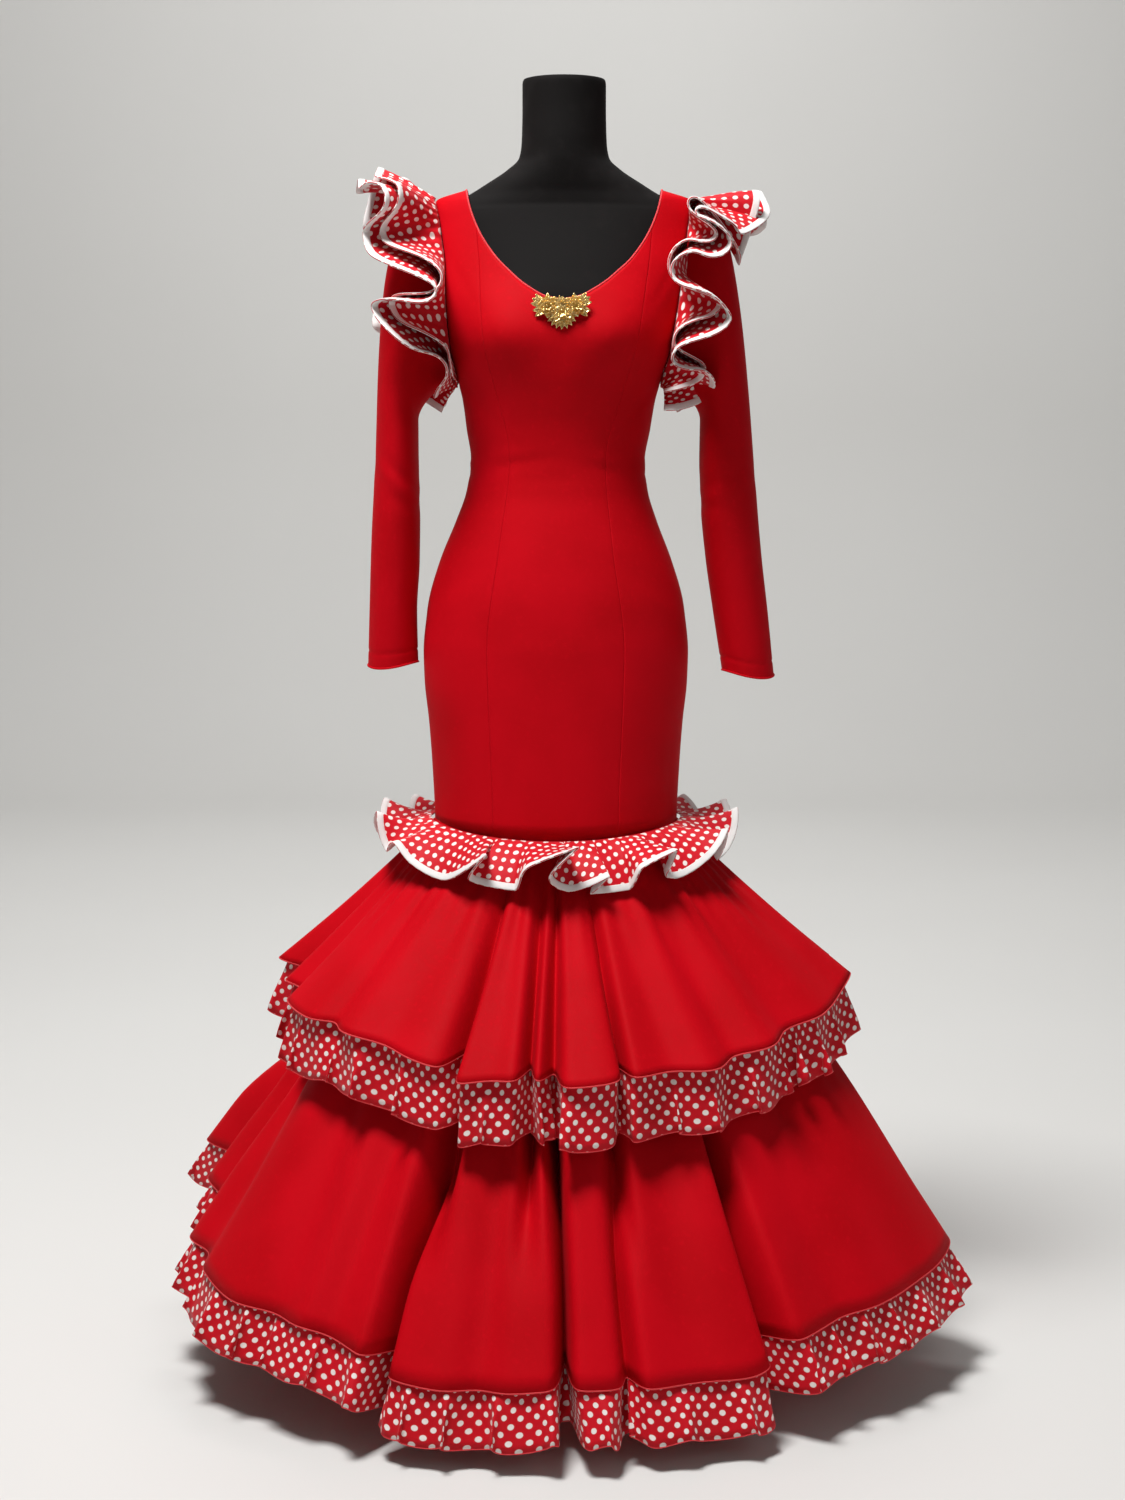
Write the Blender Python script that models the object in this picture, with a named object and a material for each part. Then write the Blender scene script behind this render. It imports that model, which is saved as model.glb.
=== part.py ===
"""Fitted flamenco dress with frilled shoulders and two flounces, on a limbless dress form with a round stand.

Metres, +Z up, front towards -Y.  Every cloth piece is a wall between an outer and an inner surface worked out
from the section and fold tables below.
"""

import math

import bmesh
import bpy
import numpy as np

# ---------------------------------------------------------------- driving sizes
CLOTH = 0.0014              # wall of one layer of crepe
BINDING = 0.0026            # wall of the bias binding, three layers of cotton
SEAM_GAP = 0.0004           # space left between two pieces that meet at a seam
BINDING_GAP = 0.0020        # the same between a frill and the thicker binding on it
FORM_INSET = 0.0072         # how far the form lies inside the dress
SEAM_Z_SIDE = 0.652         # height of the thigh seam at the sides
SEAM_DIP_FRONT = 0.014      # how much lower that seam runs at the centre front
UNDERARM_Z = 1.165
SHOULDER_Z = 1.383          # shoulder seam at the sleeve
NECK_SHOULDER_Z = 1.3955    # shoulder seam at the neckline
STRAP_START_Z = 1.352       # where the princess seam meets the neckline
BACK_NECK_Z = 1.300
FORM_FOOT_Z = 0.775         # underside of the torso
FORM_TOP_Z = 1.522
POLE_RADIUS = 0.0125
BASE_RADIUS = 0.210
BASE_THICKNESS = 0.009
BASE_BEVEL = 0.002
BASE_SIDES = 64
POLE_SIDES = 32
RIM_ANGLE = 60.0            # edges sharper than this many degrees are bevelled
FREE_GAP = 0.0004           # air between two hard pieces
MILLIMETRE = 0.001
FORM_SIDES = 48
# heights of the torso rings of the form
FORM_ROWS = (FORM_FOOT_Z, 0.79, 0.82, 0.853, 0.889, 0.925, 0.961, 0.99, 1.02, 1.05, 1.08, 1.115, 1.15, 1.185,
             1.205, 1.222, 1.24, 1.26, 1.285, 1.31, 1.335, 1.355)
# height, half width, depth in front, depth behind of the shoulders and neck of the form
FORM_NECK = (
    (1.370, 0.1480, 0.0480, 0.0580), (1.378, 0.1360, 0.0460, 0.0520), (1.389, 0.1130, 0.0460, 0.0480),
    (1.403, 0.0900, 0.0480, 0.0500), (1.418, 0.0670, 0.0500, 0.0520), (1.432, 0.0530, 0.0510, 0.0520),
    (1.450, 0.0500, 0.0510, 0.0510), (1.490, 0.0490, 0.0490, 0.0490), (1.516, 0.0490, 0.0490, 0.0490),
    (FORM_TOP_Z, 0.0460, 0.0460, 0.0460),
)

# height, half width, depth in front, depth behind (all to the outside of the dress)
BODY = (
    (0.540, 0.1500, 0.1200, 0.1260),
    (0.600, 0.1460, 0.1160, 0.1210),
    (0.652, 0.1465, 0.1140, 0.1195),
    (0.719, 0.1495, 0.1130, 0.1210),
    (0.768, 0.1530, 0.1120, 0.1240),
    (0.817, 0.1580, 0.1110, 0.1285),
    (0.853, 0.1590, 0.1100, 0.1315),
    (0.889, 0.1560, 0.1085, 0.1300),
    (0.913, 0.1525, 0.1070, 0.1265),
    (0.961, 0.1385, 0.1010, 0.1130),
    (1.009, 0.1195, 0.0930, 0.0975),
    (1.044, 0.1080, 0.0870, 0.0890),
    (1.080, 0.1035, 0.0845, 0.0865),
    (1.115, 0.1090, 0.0875, 0.0905),
    (1.151, 0.1145, 0.0945, 0.0960),
    (1.185, 0.1250, 0.1010, 0.1000),
    (1.220, 0.1410, 0.1040, 0.1030),
    (1.260, 0.1530, 0.0970, 0.1030),
    (1.300, 0.1570, 0.0820, 0.0980),
    (1.340, 0.1580, 0.0660, 0.0820),
    (1.365, 0.1570, 0.0570, 0.0680),
    (1.383, 0.1505, 0.0520, 0.0560),
    (1.3955, 0.1155, 0.0480, 0.0480),
)
# height, sideways set of the centre line
LEAN = ((0.50, 0.0), (0.95, 0.0), (1.08, 0.0025), (1.18, 0.0045), (1.25, 0.007), (1.32, 0.010), (1.60, 0.010))
BUST_HALF_SPAN = 0.070
BUST_Z = 1.222
BUST_RISE = 0.013
BUST_RADIUS = 0.044

# height, distance of the princess seam from the centre line
PRINCESS_FRONT = ((0.54, 0.078), (0.652, 0.074), (0.86, 0.080), (0.98, 0.066), (1.08, 0.056), (1.16, 0.074),
                  (1.22, 0.090), (1.30, 0.098), (1.352, 0.103))
PRINCESS_BACK = ((0.54, 0.078), (0.652, 0.074), (0.86, 0.082), (0.98, 0.064), (1.08, 0.050), (1.16, 0.062),
                 (1.22, 0.076), (1.30, 0.092), (1.352, 0.103))
# distance of the front neckline from the centre line, height
NECK_FRONT = ((0.0, 1.2630), (0.020, 1.2670), (0.035, 1.2750), (0.051, 1.2860), (0.064, 1.2980),
              (0.0765, 1.3100), (0.0865, 1.3230), (0.095, 1.3360), (0.103, 1.3520), (0.1105, 1.3730),
              (0.1155, 1.3955))
NECK_BACK = ((0.0, 1.3000), (0.030, 1.3030), (0.060, 1.3160), (0.085, 1.3330), (0.103, 1.3520),
             (0.1105, 1.3730), (0.1155, 1.3955))
# height, angle of the armhole edge from the centre front, the same behind
ARMHOLE = ((1.165, 90.0, 90.0), (1.172, 83.0, 97.0), (1.185, 78.5, 102.0), (1.198, 75.0, 106.0),
           (1.220, 67.0, 112.0), (1.260, 62.0, 117.0), (1.300, 61.5, 118.0), (1.340, 64.8, 115.0),
           (1.365, 69.4, 110.0), (1.376, 76.0, 103.0), (1.383, 90.0, 90.0))

# rows of the panels: heights up the princess and side seams
PANEL_ROWS = (0.730, 0.795, 0.853, 0.910, 0.961, 1.009, 1.080, 1.125, 1.1650, 1.185, 1.220, 1.260,
              1.306, STRAP_START_Z)
STRAP_ROWS = (1.373, 1.388, NECK_SHOULDER_Z)

# inner edge out, inner edge height, outer edge out, outer edge height, half depth
SLEEVE_LEFT = (
    (0.133, 1.1600, 0.160, 1.3800, 0.049), (0.150, 1.1500, 0.186, 1.3500, 0.051),
    (0.1635, 1.1260, 0.203, 1.2800, 0.053), (0.1635, 1.0900, 0.2105, 1.1900, 0.052),
    (0.162, 1.0300, 0.2145, 1.0900, 0.050), (0.163, 0.9600, 0.2205, 0.9850, 0.046),
    (0.1665, 0.8980, 0.2235, 0.9050, 0.041), (0.1655, 0.8370, 0.2260, 0.8330, 0.035),
)
SLEEVE_RIGHT = (
    (0.142, 1.1600, 0.170, 1.3800, 0.049), (0.158, 1.1500, 0.197, 1.3500, 0.051),
    (0.1715, 1.1260, 0.217, 1.2650, 0.053), (0.171, 1.0800, 0.228, 1.1700, 0.052),
    (0.173, 1.0250, 0.237, 1.0650, 0.050), (0.179, 0.9650, 0.246, 0.9680, 0.046),
    (0.1885, 0.9000, 0.2545, 0.8970, 0.041), (0.200, 0.8270, 0.2625, 0.8210, 0.035),
)
SLEEVE_SIDES = 12
HEAD_GAP = 0.0022           # between the armhole edge and the first ring of the sleeve
HEAD_KEEP = (0.7, 0.35)     # how much the first ring keeps of it, and how much less each next one
HEAD_STEP = 0.014           # how far the first sleeve rings keep the shape of the armhole

# shoulder frill folds: place round the armhole, then how far the free edge lies out, forward and up, in mm
FRILL_LEFT = (
    (0.060, 6, 39, 5), (0.085, 6, 48, 11), (0.105, 6, 58, 19), (0.125, 13, 67, 20), (0.142, 31, 67, 22),
    (0.160, 50, 59, 20), (0.175, 61, 48, 20), (0.195, 67, 38, 23), (0.212, 58, 52, 20), (0.230, 33, 72, 8),
    (0.245, 13, 79, -1), (0.258, 3, 80, -3), (0.270, 0, 80, -2), (0.285, 5, 80, -1), (0.302, 24, 76, 1),
    (0.320, 50, 63, 0), (0.335, 66, 46, -1), (0.350, 71, 37, 2), (0.365, 67, 43, 4), (0.385, 52, 60, 7),
    (0.405, 42, 66, 15), (0.425, 43, 64, 22), (0.445, 55, 52, 25), (0.465, 70, 27, 28),
    (0.500, 69, -12, 40), (0.540, 78, -8, 18), (0.575, 42, -50, 46), (0.605, 33, -65, 34),
    (0.645, 75, -26, 9), (0.680, 73, -31, 10), (0.715, 3, -80, 7), (0.750, -3, -80, 0),
    (0.790, 73, -32, -6), (0.820, 75, -26, -7), (0.855, 2, -67, -40), (0.900, 19, -44, -33),
    (0.940, 19, -20, -29),
)
FRILL_RIGHT = (
    (0.045, 4, 35, -10), (0.065, 18, 35, -12), (0.085, 34, 34, -13), (0.102, 46, 35, -11),
    (0.120, 44, 53, -6), (0.136, 21, 72, -3), (0.150, 3, 79, -2), (0.165, -1, 80, 0), (0.180, 5, 80, 3),
    (0.197, 23, 77, 1), (0.215, 39, 69, -6), (0.230, 48, 64, -5), (0.245, 37, 71, -6), (0.260, 14, 78, -9),
    (0.275, -7, 79, -12), (0.290, -18, 77, -11), (0.303, -21, 77, -6), (0.317, -17, 78, 0),
    (0.331, -4, 80, 2), (0.345, 11, 79, -8), (0.352, 23, 75, -14), (0.360, 33, 72, -11),
    (0.368, 31, 73, -7), (0.377, 17, 78, -2), (0.385, 2, 80, 2), (0.392, -6, 79, 7), (0.399, -7, 79, 14),
    (0.407, 1, 79, 15), (0.417, 11, 79, 4), (0.429, 29, 72, -20), (0.442, 49, 42, -47), (0.456, 58, 0, -63),
    (0.470, 54, -1, -76), (0.500, 80, 10, -3), (0.530, 78, -2, 14), (0.560, 78, 16, -12),
    (0.590, 75, -23, 14), (0.625, 73, -30, 13), (0.660, 27, -71, 25), (0.700, -3, -78, 16),
    (0.735, 14, -79, 3), (0.770, 49, -63, -4), (0.800, 51, -60, -13), (0.835, -3, -76, -25),
    (0.865, 2, -64, -39), (0.900, 36, -35, -28), (0.940, 18, -20, -29),
)
# distance out along the sleeve, distance off the armhole edge, turn added in degrees, scale of the reach
TIERS = {
    "upper": (0.0046, 0.0072, 0.0, 1.0),
    "lower": (0.0100, 0.0054, -13.0, 1.18),
}
LEAST_TURN = 17.0           # how far the upper tier stays turned away from the sleeve, in degrees
FRILL_SLIP = 0.2            # share of the folds' slip along the seam that the solid keeps
FRILL_COLUMNS = 40
FRILL_STEP = 0.003          # step along the armhole that gives its direction
BINDING_WIDTH = 0.0085

# thigh frill folds: place on the seam, place of the free edge, droop in degrees
THIGH_FRILL = (
    (-106.0, -106.0, -12.0), (-92.0, -97.0, 24.0), (-80.0, -77.0, -10.0), (-70.0, -72.0, 28.0),
    (-60.0, -61.0, 12.0), (-52.0, -54.0, 30.0), (-43.0, -41.0, 44.0), (-30.0, -21.0, 6.0),
    (-24.0, -29.0, 36.0), (-16.0, -14.0, 46.0), (-10.0, -9.0, 18.0), (2.0, 7.0, -4.0), (5.0, -2.0, 28.0),
    (9.0, 5.0, 46.0), (15.0, 17.0, 28.0), (19.0, 12.0, 52.0), (25.0, 26.0, 50.0), (30.0, 27.0, 24.0),
    (37.0, 40.0, 8.0), (41.0, 38.0, 34.0), (48.0, 46.0, 44.0), (58.0, 60.0, 24.0), (64.0, 68.0, 2.0),
    (70.0, 68.0, 36.0), (77.0, 79.0, 30.0), (86.0, 90.0, -8.0), (96.0, 94.0, 28.0), (106.0, 108.0, -10.0),
    (117.0, 114.0, 34.0), (130.0, 133.0, -6.0), (142.0, 139.0, 36.0), (154.0, 157.0, -4.0),
    (167.0, 163.0, 34.0), (180.0, 181.0, -6.0), (193.0, 189.0, 34.0), (206.0, 209.0, -4.0),
    (219.0, 215.0, 36.0), (231.0, 234.0, -8.0), (243.0, 240.0, 30.0),
)
THIGH_REACH = 0.070
THIGH_ROOT = 0.0045
THIGH_START_DROOP = 12.0    # droop at the seam in degrees
THIGH_DROOP_POWER = 0.7     # how the droop grows towards the edge

# angle, how far the edge lies out from its oval, height of the edge
UPPER_FOLDS = (
    (-84.0, -0.006, 0.458), (-77.0, -0.022, 0.453), (-70.0, 0.002, 0.447), (-60.0, 0.006, 0.442),
    (-53.0, -0.010, 0.440), (-45.0, 0.005, 0.436), (-37.0, -0.008, 0.427), (-29.0, 0.004, 0.416),
    (-26.0, -0.002, 0.412), (-22.8, -0.058, 0.420), (-18.5, 0.002, 0.396), (-13.5, -0.006, 0.400),
    (-10.0, 0.001, 0.402), (-6.4, -0.056, 0.404), (-3.2, -0.006, 0.400), (0.2, -0.056, 0.398),
    (4.0, 0.000, 0.395), (9.0, 0.002, 0.398), (12.0, -0.006, 0.401), (14.8, -0.048, 0.405),
    (18.5, 0.000, 0.404), (25.0, -0.014, 0.404), (32.0, 0.006, 0.405), (41.0, -0.014, 0.411),
    (49.0, 0.005, 0.419), (58.0, -0.012, 0.427), (67.0, 0.008, 0.436), (77.0, 0.012, 0.446),
    (86.0, 0.024, 0.460), (95.0, -0.036, 0.458), (104.0, 0.010, 0.466), (115.0, -0.048, 0.468),
    (127.0, 0.008, 0.474), (138.0, -0.046, 0.474), (149.0, 0.006, 0.478), (160.0, -0.048, 0.478),
    (171.0, 0.004, 0.480), (181.0, -0.044, 0.480), (192.0, 0.006, 0.480), (203.0, -0.050, 0.478),
    (214.0, 0.008, 0.476), (225.0, -0.046, 0.473), (237.0, 0.010, 0.472), (249.0, -0.048, 0.466),
    (259.0, 0.012, 0.466), (268.0, -0.036, 0.458),
)
# angle, how far round the edge slides there in degrees
UPPER_SLIDES = (
    (-84.0, 1.5), (-77.0, 0.0), (-70.0, -1.5), (-58.0, 1.2), (-53.0, 0.0), (-47.0, -1.2), (-34.0, 0.0),
    (-27.5, 2.2), (-22.8, 1.3), (-18.5, -1.8), (-13.0, 0.4), (-10.0, 1.7), (-6.4, 0.5), (-3.2, -0.6),
    (0.2, -0.4), (3.6, -2.0), (8.0, 0.0), (11.6, 1.6), (14.8, 0.3), (18.5, -2.2), (25.0, 0.0), (34.0, 0.8),
    (41.0, 0.0), (48.0, -1.0), (70.0, 0.0), (86.0, 2.4), (95.0, 0.0), (104.0, -2.6), (115.0, 0.0),
    (126.0, 2.4), (138.0, 0.0), (149.0, -2.0), (171.0, 2.0), (181.0, 0.0), (192.0, -2.2), (203.0, 0.0),
    (214.0, 2.6), (225.0, 0.4), (237.0, -2.2), (249.0, 0.0), (260.0, 2.2), (268.0, 0.0),
)
# angle, how far the edge lies out from its oval, height of the edge
LOWER_FOLDS = (
    (-80.0, -0.008, 0.152), (-72.0, -0.022, 0.149), (-64.0, 0.000, 0.144), (-55.0, 0.004, 0.133),
    (-48.0, -0.012, 0.130), (-41.0, 0.000, 0.129), (-36.0, -0.012, 0.121), (-31.0, 0.004, 0.113),
    (-27.4, -0.078, 0.100), (-23.2, -0.004, 0.090), (-17.0, 0.002, 0.085), (-12.0, -0.012, 0.084),
    (-7.0, 0.000, 0.086), (-2.2, 0.000, 0.090), (1.4, -0.086, 0.093), (4.6, 0.000, 0.090),
    (8.5, -0.002, 0.089), (11.6, -0.042, 0.089), (15.0, 0.000, 0.088), (22.0, -0.008, 0.087),
    (28.5, 0.002, 0.087), (32.5, -0.004, 0.093), (36.4, -0.088, 0.104), (40.8, 0.002, 0.118),
    (48.0, -0.010, 0.124), (55.0, 0.004, 0.128), (64.0, 0.010, 0.133), (78.0, 0.026, 0.146),
    (88.0, -0.044, 0.168), (99.0, -0.012, 0.186), (107.0, -0.054, 0.192), (117.0, -0.004, 0.200),
    (135.0, -0.052, 0.205), (148.0, 0.006, 0.210), (160.0, -0.054, 0.210), (172.0, 0.004, 0.212),
    (183.0, -0.050, 0.212), (195.0, 0.006, 0.212), (207.0, -0.054, 0.210), (219.0, 0.010, 0.206),
    (232.0, -0.050, 0.202), (247.0, 0.022, 0.200), (256.0, -0.054, 0.192), (264.0, -0.018, 0.186),
    (272.0, -0.050, 0.170),
)
# angle, how far round the edge slides there in degrees
LOWER_SLIDES = (
    (-80.0, 1.0), (-72.0, 0.0), (-64.0, -1.0), (-44.0, 0.8), (-36.0, 0.0), (-32.0, 1.9), (-27.4, 0.9),
    (-22.8, -2.6), (-16.0, 0.0), (-7.0, 0.6), (-2.2, 1.9), (1.4, 0.4), (4.8, -1.7), (8.6, 1.0), (11.6, 0.0),
    (15.0, -1.4), (24.0, 0.0), (31.5, 1.5), (36.4, -0.2), (41.0, -2.8), (48.0, 0.0), (70.0, 0.0),
    (79.0, 2.2), (88.0, 0.0), (98.0, -1.2), (107.0, 0.0), (118.0, 2.0), (135.0, 0.0), (148.0, 2.2),
    (160.0, 0.2), (172.0, -1.8), (195.0, 2.0), (207.0, 0.0), (219.0, -2.2), (232.0, 0.0), (247.0, 1.8),
    (256.0, 0.0), (265.0, -1.0),
)
# half width, depth in front, depth behind of the oval a flounce edge runs round
UPPER_OVAL = (0.335, 0.315, 0.395)
LOWER_OVAL = (0.458, 0.422, 0.525)
UPPER_ROOT_Z = 0.646
LOWER_ROOT_Z = 0.585
UPPER_BOW = 1.10            # 1 for a straight cone, more for a wall that flares late
LOWER_BOW = 0.93
UPPER_TRIM_DROP = 0.070
LOWER_TRIM_DROP = 0.056
UPPER_TRIM_FLARE = 0.010
LOWER_TRIM_FLARE = 0.026
TRIM_GAP = 0.0022           # height between a flounce edge and the trim below it
ROOT_CLEAR = 0.0026         # between the body and the first row of a flounce
FOLD_POWER = 0.9            # how the folds of the upper flounce grow from its seam
UNDER_START = (0.0, 0.36)   # shares over which the lower flounce takes on the folds of the upper one
UNDER_END = (0.48, 0.86)    # and loses them again
SLIDE_POWER = 3             # how late the slides of the lower flounce set in
OWN_FOLDS = (0.14, 0.84)    # shares over which its own folds grow
UPPER_SHARES = (0.0, 0.33, 0.66, 1.0)
LOWER_SHARES = (0.0, 0.2, 0.45, 0.72, 1.0)
NEAREST_ANGLES = 1.6        # two folds nearer than this share one line of points
WIDEST_ANGLES = 11.0        # a wider gap gets one more line
BAND_FOOT = 0.012           # how far the underskirt band runs below the seam of the lower flounce
BAND_STEP = 15.0

# centre-back zip
ZIP_WIDTH = 0.022
ZIP_FOOT_Z = 0.900
ZIP_DEPTH = 0.105           # mean depth of the back there
ZIP_TAPE = 0.0009
ZIP_INSET = 0.0036          # from the outside of the dress to the tape, clear of the panels' flat faces
SLIDER_Z = 1.281
SLIDER_HEIGHT = 0.009
SLIDER_WIDTH = 0.0080
SLIDER_CLEAR = 0.0012       # between the dress and the slider
SLIDER_BASE = 0.0020
SLIDER_CHEEK = 0.0010
SLIDER_CHEEK_RISE = 0.0019
TAB_WIDTH = 0.0050
TAB_LENGTH = 0.022
TAB_THICKNESS = 0.0012
TAB_ARC = 7                 # points on its round end

# brooch
BROOCH_Z = 1.2525
BROOCH_HALF_WIDTH = 0.036
BROOCH_HALF_HEIGHT = 0.018
BROOCH_RISE = 0.009
BROOCH_RIM = 0.0022         # thickness at the rim
BROOCH_BACK_Y = -0.1030
BROOCH_RINGS = 7
BROOCH_SIDES = 42
BROOCH_PETALS = 14
BROOCH_PETAL_DEPTH = 0.07
FLOWER_RADIUS = 0.0105
# right, up and share of the full rise of each flower head
FLOWERS = ((-0.019, 0.002, 0.6), (0.0, -0.001, 1.0), (0.019, 0.002, 0.6))

FINISHES = {
    "crepe_red": ((0.56, 0.012, 0.018), 0.0, 0.70),
    "polka_red": ((0.60, 0.03, 0.035), 0.0, 0.65),
    "binding_white": ((0.82, 0.80, 0.78), 0.0, 0.60),
    "form_black": ((0.012, 0.012, 0.013), 0.0, 0.75),
    "stand_black": ((0.03, 0.03, 0.032), 0.6, 0.40),
    "brooch_gold": ((0.78, 0.52, 0.16), 1.0, 0.30),
    "zip_tape": ((0.45, 0.012, 0.018), 0.0, 0.70),
    "zip_metal": ((0.42, 0.02, 0.025), 0.5, 0.40),
}


# ---------------------------------------------------------------- curves and surfaces
def smooth(x, xs, ys):
    """Smooth curve through table points that never overshoots between two of them."""
    x = np.asarray(x, float)
    xs = np.asarray(xs, float)
    ys = np.asarray(ys, float)
    h = np.diff(xs)
    d = np.diff(ys) / h
    m = np.empty_like(ys)
    m[0] = d[0]
    m[-1] = d[-1]
    same = d[:-1] * d[1:] > 0
    safe = np.where(same, d[:-1] * d[1:], 1.0)
    m[1:-1] = np.where(same, 2.0 * safe / np.where(same, d[:-1] + d[1:], 1.0), 0.0)
    i = np.clip(np.searchsorted(xs, x) - 1, 0, len(xs) - 2)
    t = np.clip((x - xs[i]) / h[i], 0.0, 1.0)
    a = ys[i] * (1 + 2 * t) * (1 - t) ** 2 + ys[i + 1] * t * t * (3 - 2 * t)
    return a + h[i] * (m[i] * t * (1 - t) ** 2 - m[i + 1] * t * t * (1 - t))


def column(rows, n):
    """One column of a table."""
    return np.array([row[n] for row in rows])


def around(angle, rows, n):
    """A column of a fold table as a smooth function of the angle, closed round the body."""
    angles = column(rows, 0)
    values = column(rows, n)
    start = angles[0]
    wrapped = start + np.mod(np.asarray(angle, float) - start, 360.0)
    xs = np.concatenate([angles[-2:] - 360.0, angles, angles[:2] + 360.0])
    ys = np.concatenate([values[-2:], values, values[:2]])
    return smooth(wrapped, xs, ys)


def ramp(x, low, high):
    """0 below low, 1 above high, smooth between."""
    t = np.clip((np.asarray(x, float) - low) / (high - low), 0.0, 1.0)
    return t * t * (3 - 2 * t)


def lean(z):
    """Sideways set of the centre line at a height."""
    return smooth(z, column(LEAN, 0), column(LEAN, 1))


def half_width(z):
    """Half width of the dress at a height."""
    return smooth(z, column(BODY, 0), column(BODY, 1))


def body_point(angle, z, inset=0.0):
    """Point of the dress surface at an angle from the centre front and a height, moved inwards by inset."""
    angle = np.radians(angle)
    z = np.asarray(z, float)
    front = smooth(z, column(BODY, 0), column(BODY, 2))
    back = smooth(z, column(BODY, 0), column(BODY, 3))
    depth = np.where(np.cos(angle) > 0, front, back) - inset
    out = (half_width(z) - inset) * np.sin(angle)
    bump = np.exp(-((np.abs(out) - BUST_HALF_SPAN) ** 2 + (z - BUST_Z) ** 2) / BUST_RADIUS ** 2)
    rise = (BUST_RISE - inset) if inset > CLOTH else BUST_RISE
    y = -depth * np.cos(angle) - rise * bump * np.clip(np.cos(angle) * 2.5, 0.0, 1.0)
    return np.stack([lean(z) + out, y, z + 0 * out], axis=-1)


def seam_z(angle):
    """Height of the thigh seam."""
    return SEAM_Z_SIDE - SEAM_DIP_FRONT * np.clip(np.cos(np.radians(angle)), 0.0, 1.0) ** 1.5


def edge_angle(out, z):
    """Angle of the surface point that lies at a distance out from the centre line."""
    return np.degrees(np.arcsin(np.clip(out / half_width(z), -1.0, 1.0)))


# ---------------------------------------------------------------- meshes
def new_material(name):
    """Principled material from the table of finishes."""
    colour, metallic, roughness = FINISHES[name]
    material = bpy.data.materials.new(name)
    material.use_nodes = True
    shader = material.node_tree.nodes["Principled BSDF"]
    shader.inputs["Base Color"].default_value = (*colour, 1.0)
    shader.inputs["Metallic"].default_value = metallic
    shader.inputs["Roughness"].default_value = roughness
    material.diffuse_color = (*colour, 1.0)
    return material


def add_object(name, mesh_data, finish):
    """Turn a bmesh into a named object with its own finish, faces outwards."""
    bmesh.ops.recalc_face_normals(mesh_data, faces=mesh_data.faces[:])
    if mesh_data.calc_volume(signed=True) < 0.0:
        bmesh.ops.reverse_faces(mesh_data, faces=mesh_data.faces[:])
    mesh = bpy.data.meshes.new(name)
    mesh_data.to_mesh(mesh)
    mesh_data.free()
    mesh.materials.append(new_material_for(finish))
    obj = bpy.data.objects.new(name, mesh)
    bpy.context.collection.objects.link(obj)
    return obj


def new_material_for(finish):
    """The material of a finish, made once."""
    return bpy.data.materials.get(finish) or new_material(finish)


def wall(name, outer, inner, finish, closed):
    """Closed wall between two grids of points, closed=True where its columns run all the way round."""
    rows, cols = outer.shape[:2]
    mesh_data = bmesh.new()
    out = [[mesh_data.verts.new(outer[r, c]) for c in range(cols)] for r in range(rows)]
    inn = [[mesh_data.verts.new(inner[r, c]) for c in range(cols)] for r in range(rows)]
    spans = [(c, (c + 1) % cols) for c in range(cols if closed else cols - 1)]
    for r in range(rows - 1):
        for c, d in spans:
            mesh_data.faces.new((out[r][c], out[r][d], out[r + 1][d], out[r + 1][c]))
            mesh_data.faces.new((inn[r][c], inn[r + 1][c], inn[r + 1][d], inn[r][d]))
    for c, d in spans:
        mesh_data.faces.new((out[0][d], out[0][c], inn[0][c], inn[0][d]))
        mesh_data.faces.new((out[-1][c], out[-1][d], inn[-1][d], inn[-1][c]))
    if not closed:
        for r in range(rows - 1):
            mesh_data.faces.new((out[r][0], out[r + 1][0], inn[r + 1][0], inn[r][0]))
            mesh_data.faces.new((out[r + 1][-1], out[r][-1], inn[r][-1], inn[r + 1][-1]))
    return add_object(name, mesh_data, finish)


def normals(points, closed):
    """Unit normals of a grid, to the right-hand side of rows then columns."""
    if closed:
        across = np.roll(points, -1, axis=1) - np.roll(points, 1, axis=1)
    else:
        across = np.gradient(points, axis=1)
    down = np.gradient(points, axis=0)
    normal = np.cross(across, down)
    length = np.linalg.norm(normal, axis=-1, keepdims=True)
    return normal / np.maximum(length, 1e-12)


def thin_sheet(name, points, thickness, finish, closed):
    """Wall of one thickness centred on a grid of points."""
    shift = normals(points, closed) * thickness / 2
    return wall(name, points + shift, points - shift, finish, closed)


def bound_sheet(name, binding_name, points, closed):
    """Frill cloth with the last band of its grid made as a binding; both share one set of normals."""
    side = normals(points, closed)
    cloth = side[:-2] * CLOTH / 2
    edge = side[-2:] * BINDING / 2
    wall(name, points[:-2] + cloth, points[:-2] - cloth, "polka_red", closed)
    wall(binding_name, points[-2:] + edge, points[-2:] - edge, "binding_white", closed)


# ---------------------------------------------------------------- bodice and skirt panels
def panel(name, angle_left, angle_right, z_left, z_right, cells):
    """Body panel between two edges, each given as an angle and a height for every row."""
    share = np.linspace(0.0, 1.0, cells + 1)[None, :]
    angle = angle_left[:, None] * (1 - share) + angle_right[:, None] * share
    z = z_left[:, None] * (1 - share) + z_right[:, None] * share
    z[0] = seam_z(angle[0]) + SEAM_GAP / 2
    return wall(name, body_point(angle, z), body_point(angle, z, CLOTH), "crepe_red", False)


def gap_angle(z):
    """Half a seam gap as an angle on the dress."""
    return np.degrees(SEAM_GAP / 2 / half_width(z))


def outer_height(z):
    """Height on the outer edge of a side panel for a row that starts at height z on its inner edge."""
    stretch = (SHOULDER_Z - 1.30) / (NECK_SHOULDER_Z - 1.30)
    return np.where(z > 1.30, 1.30 + (z - 1.30) * stretch, z)


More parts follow.
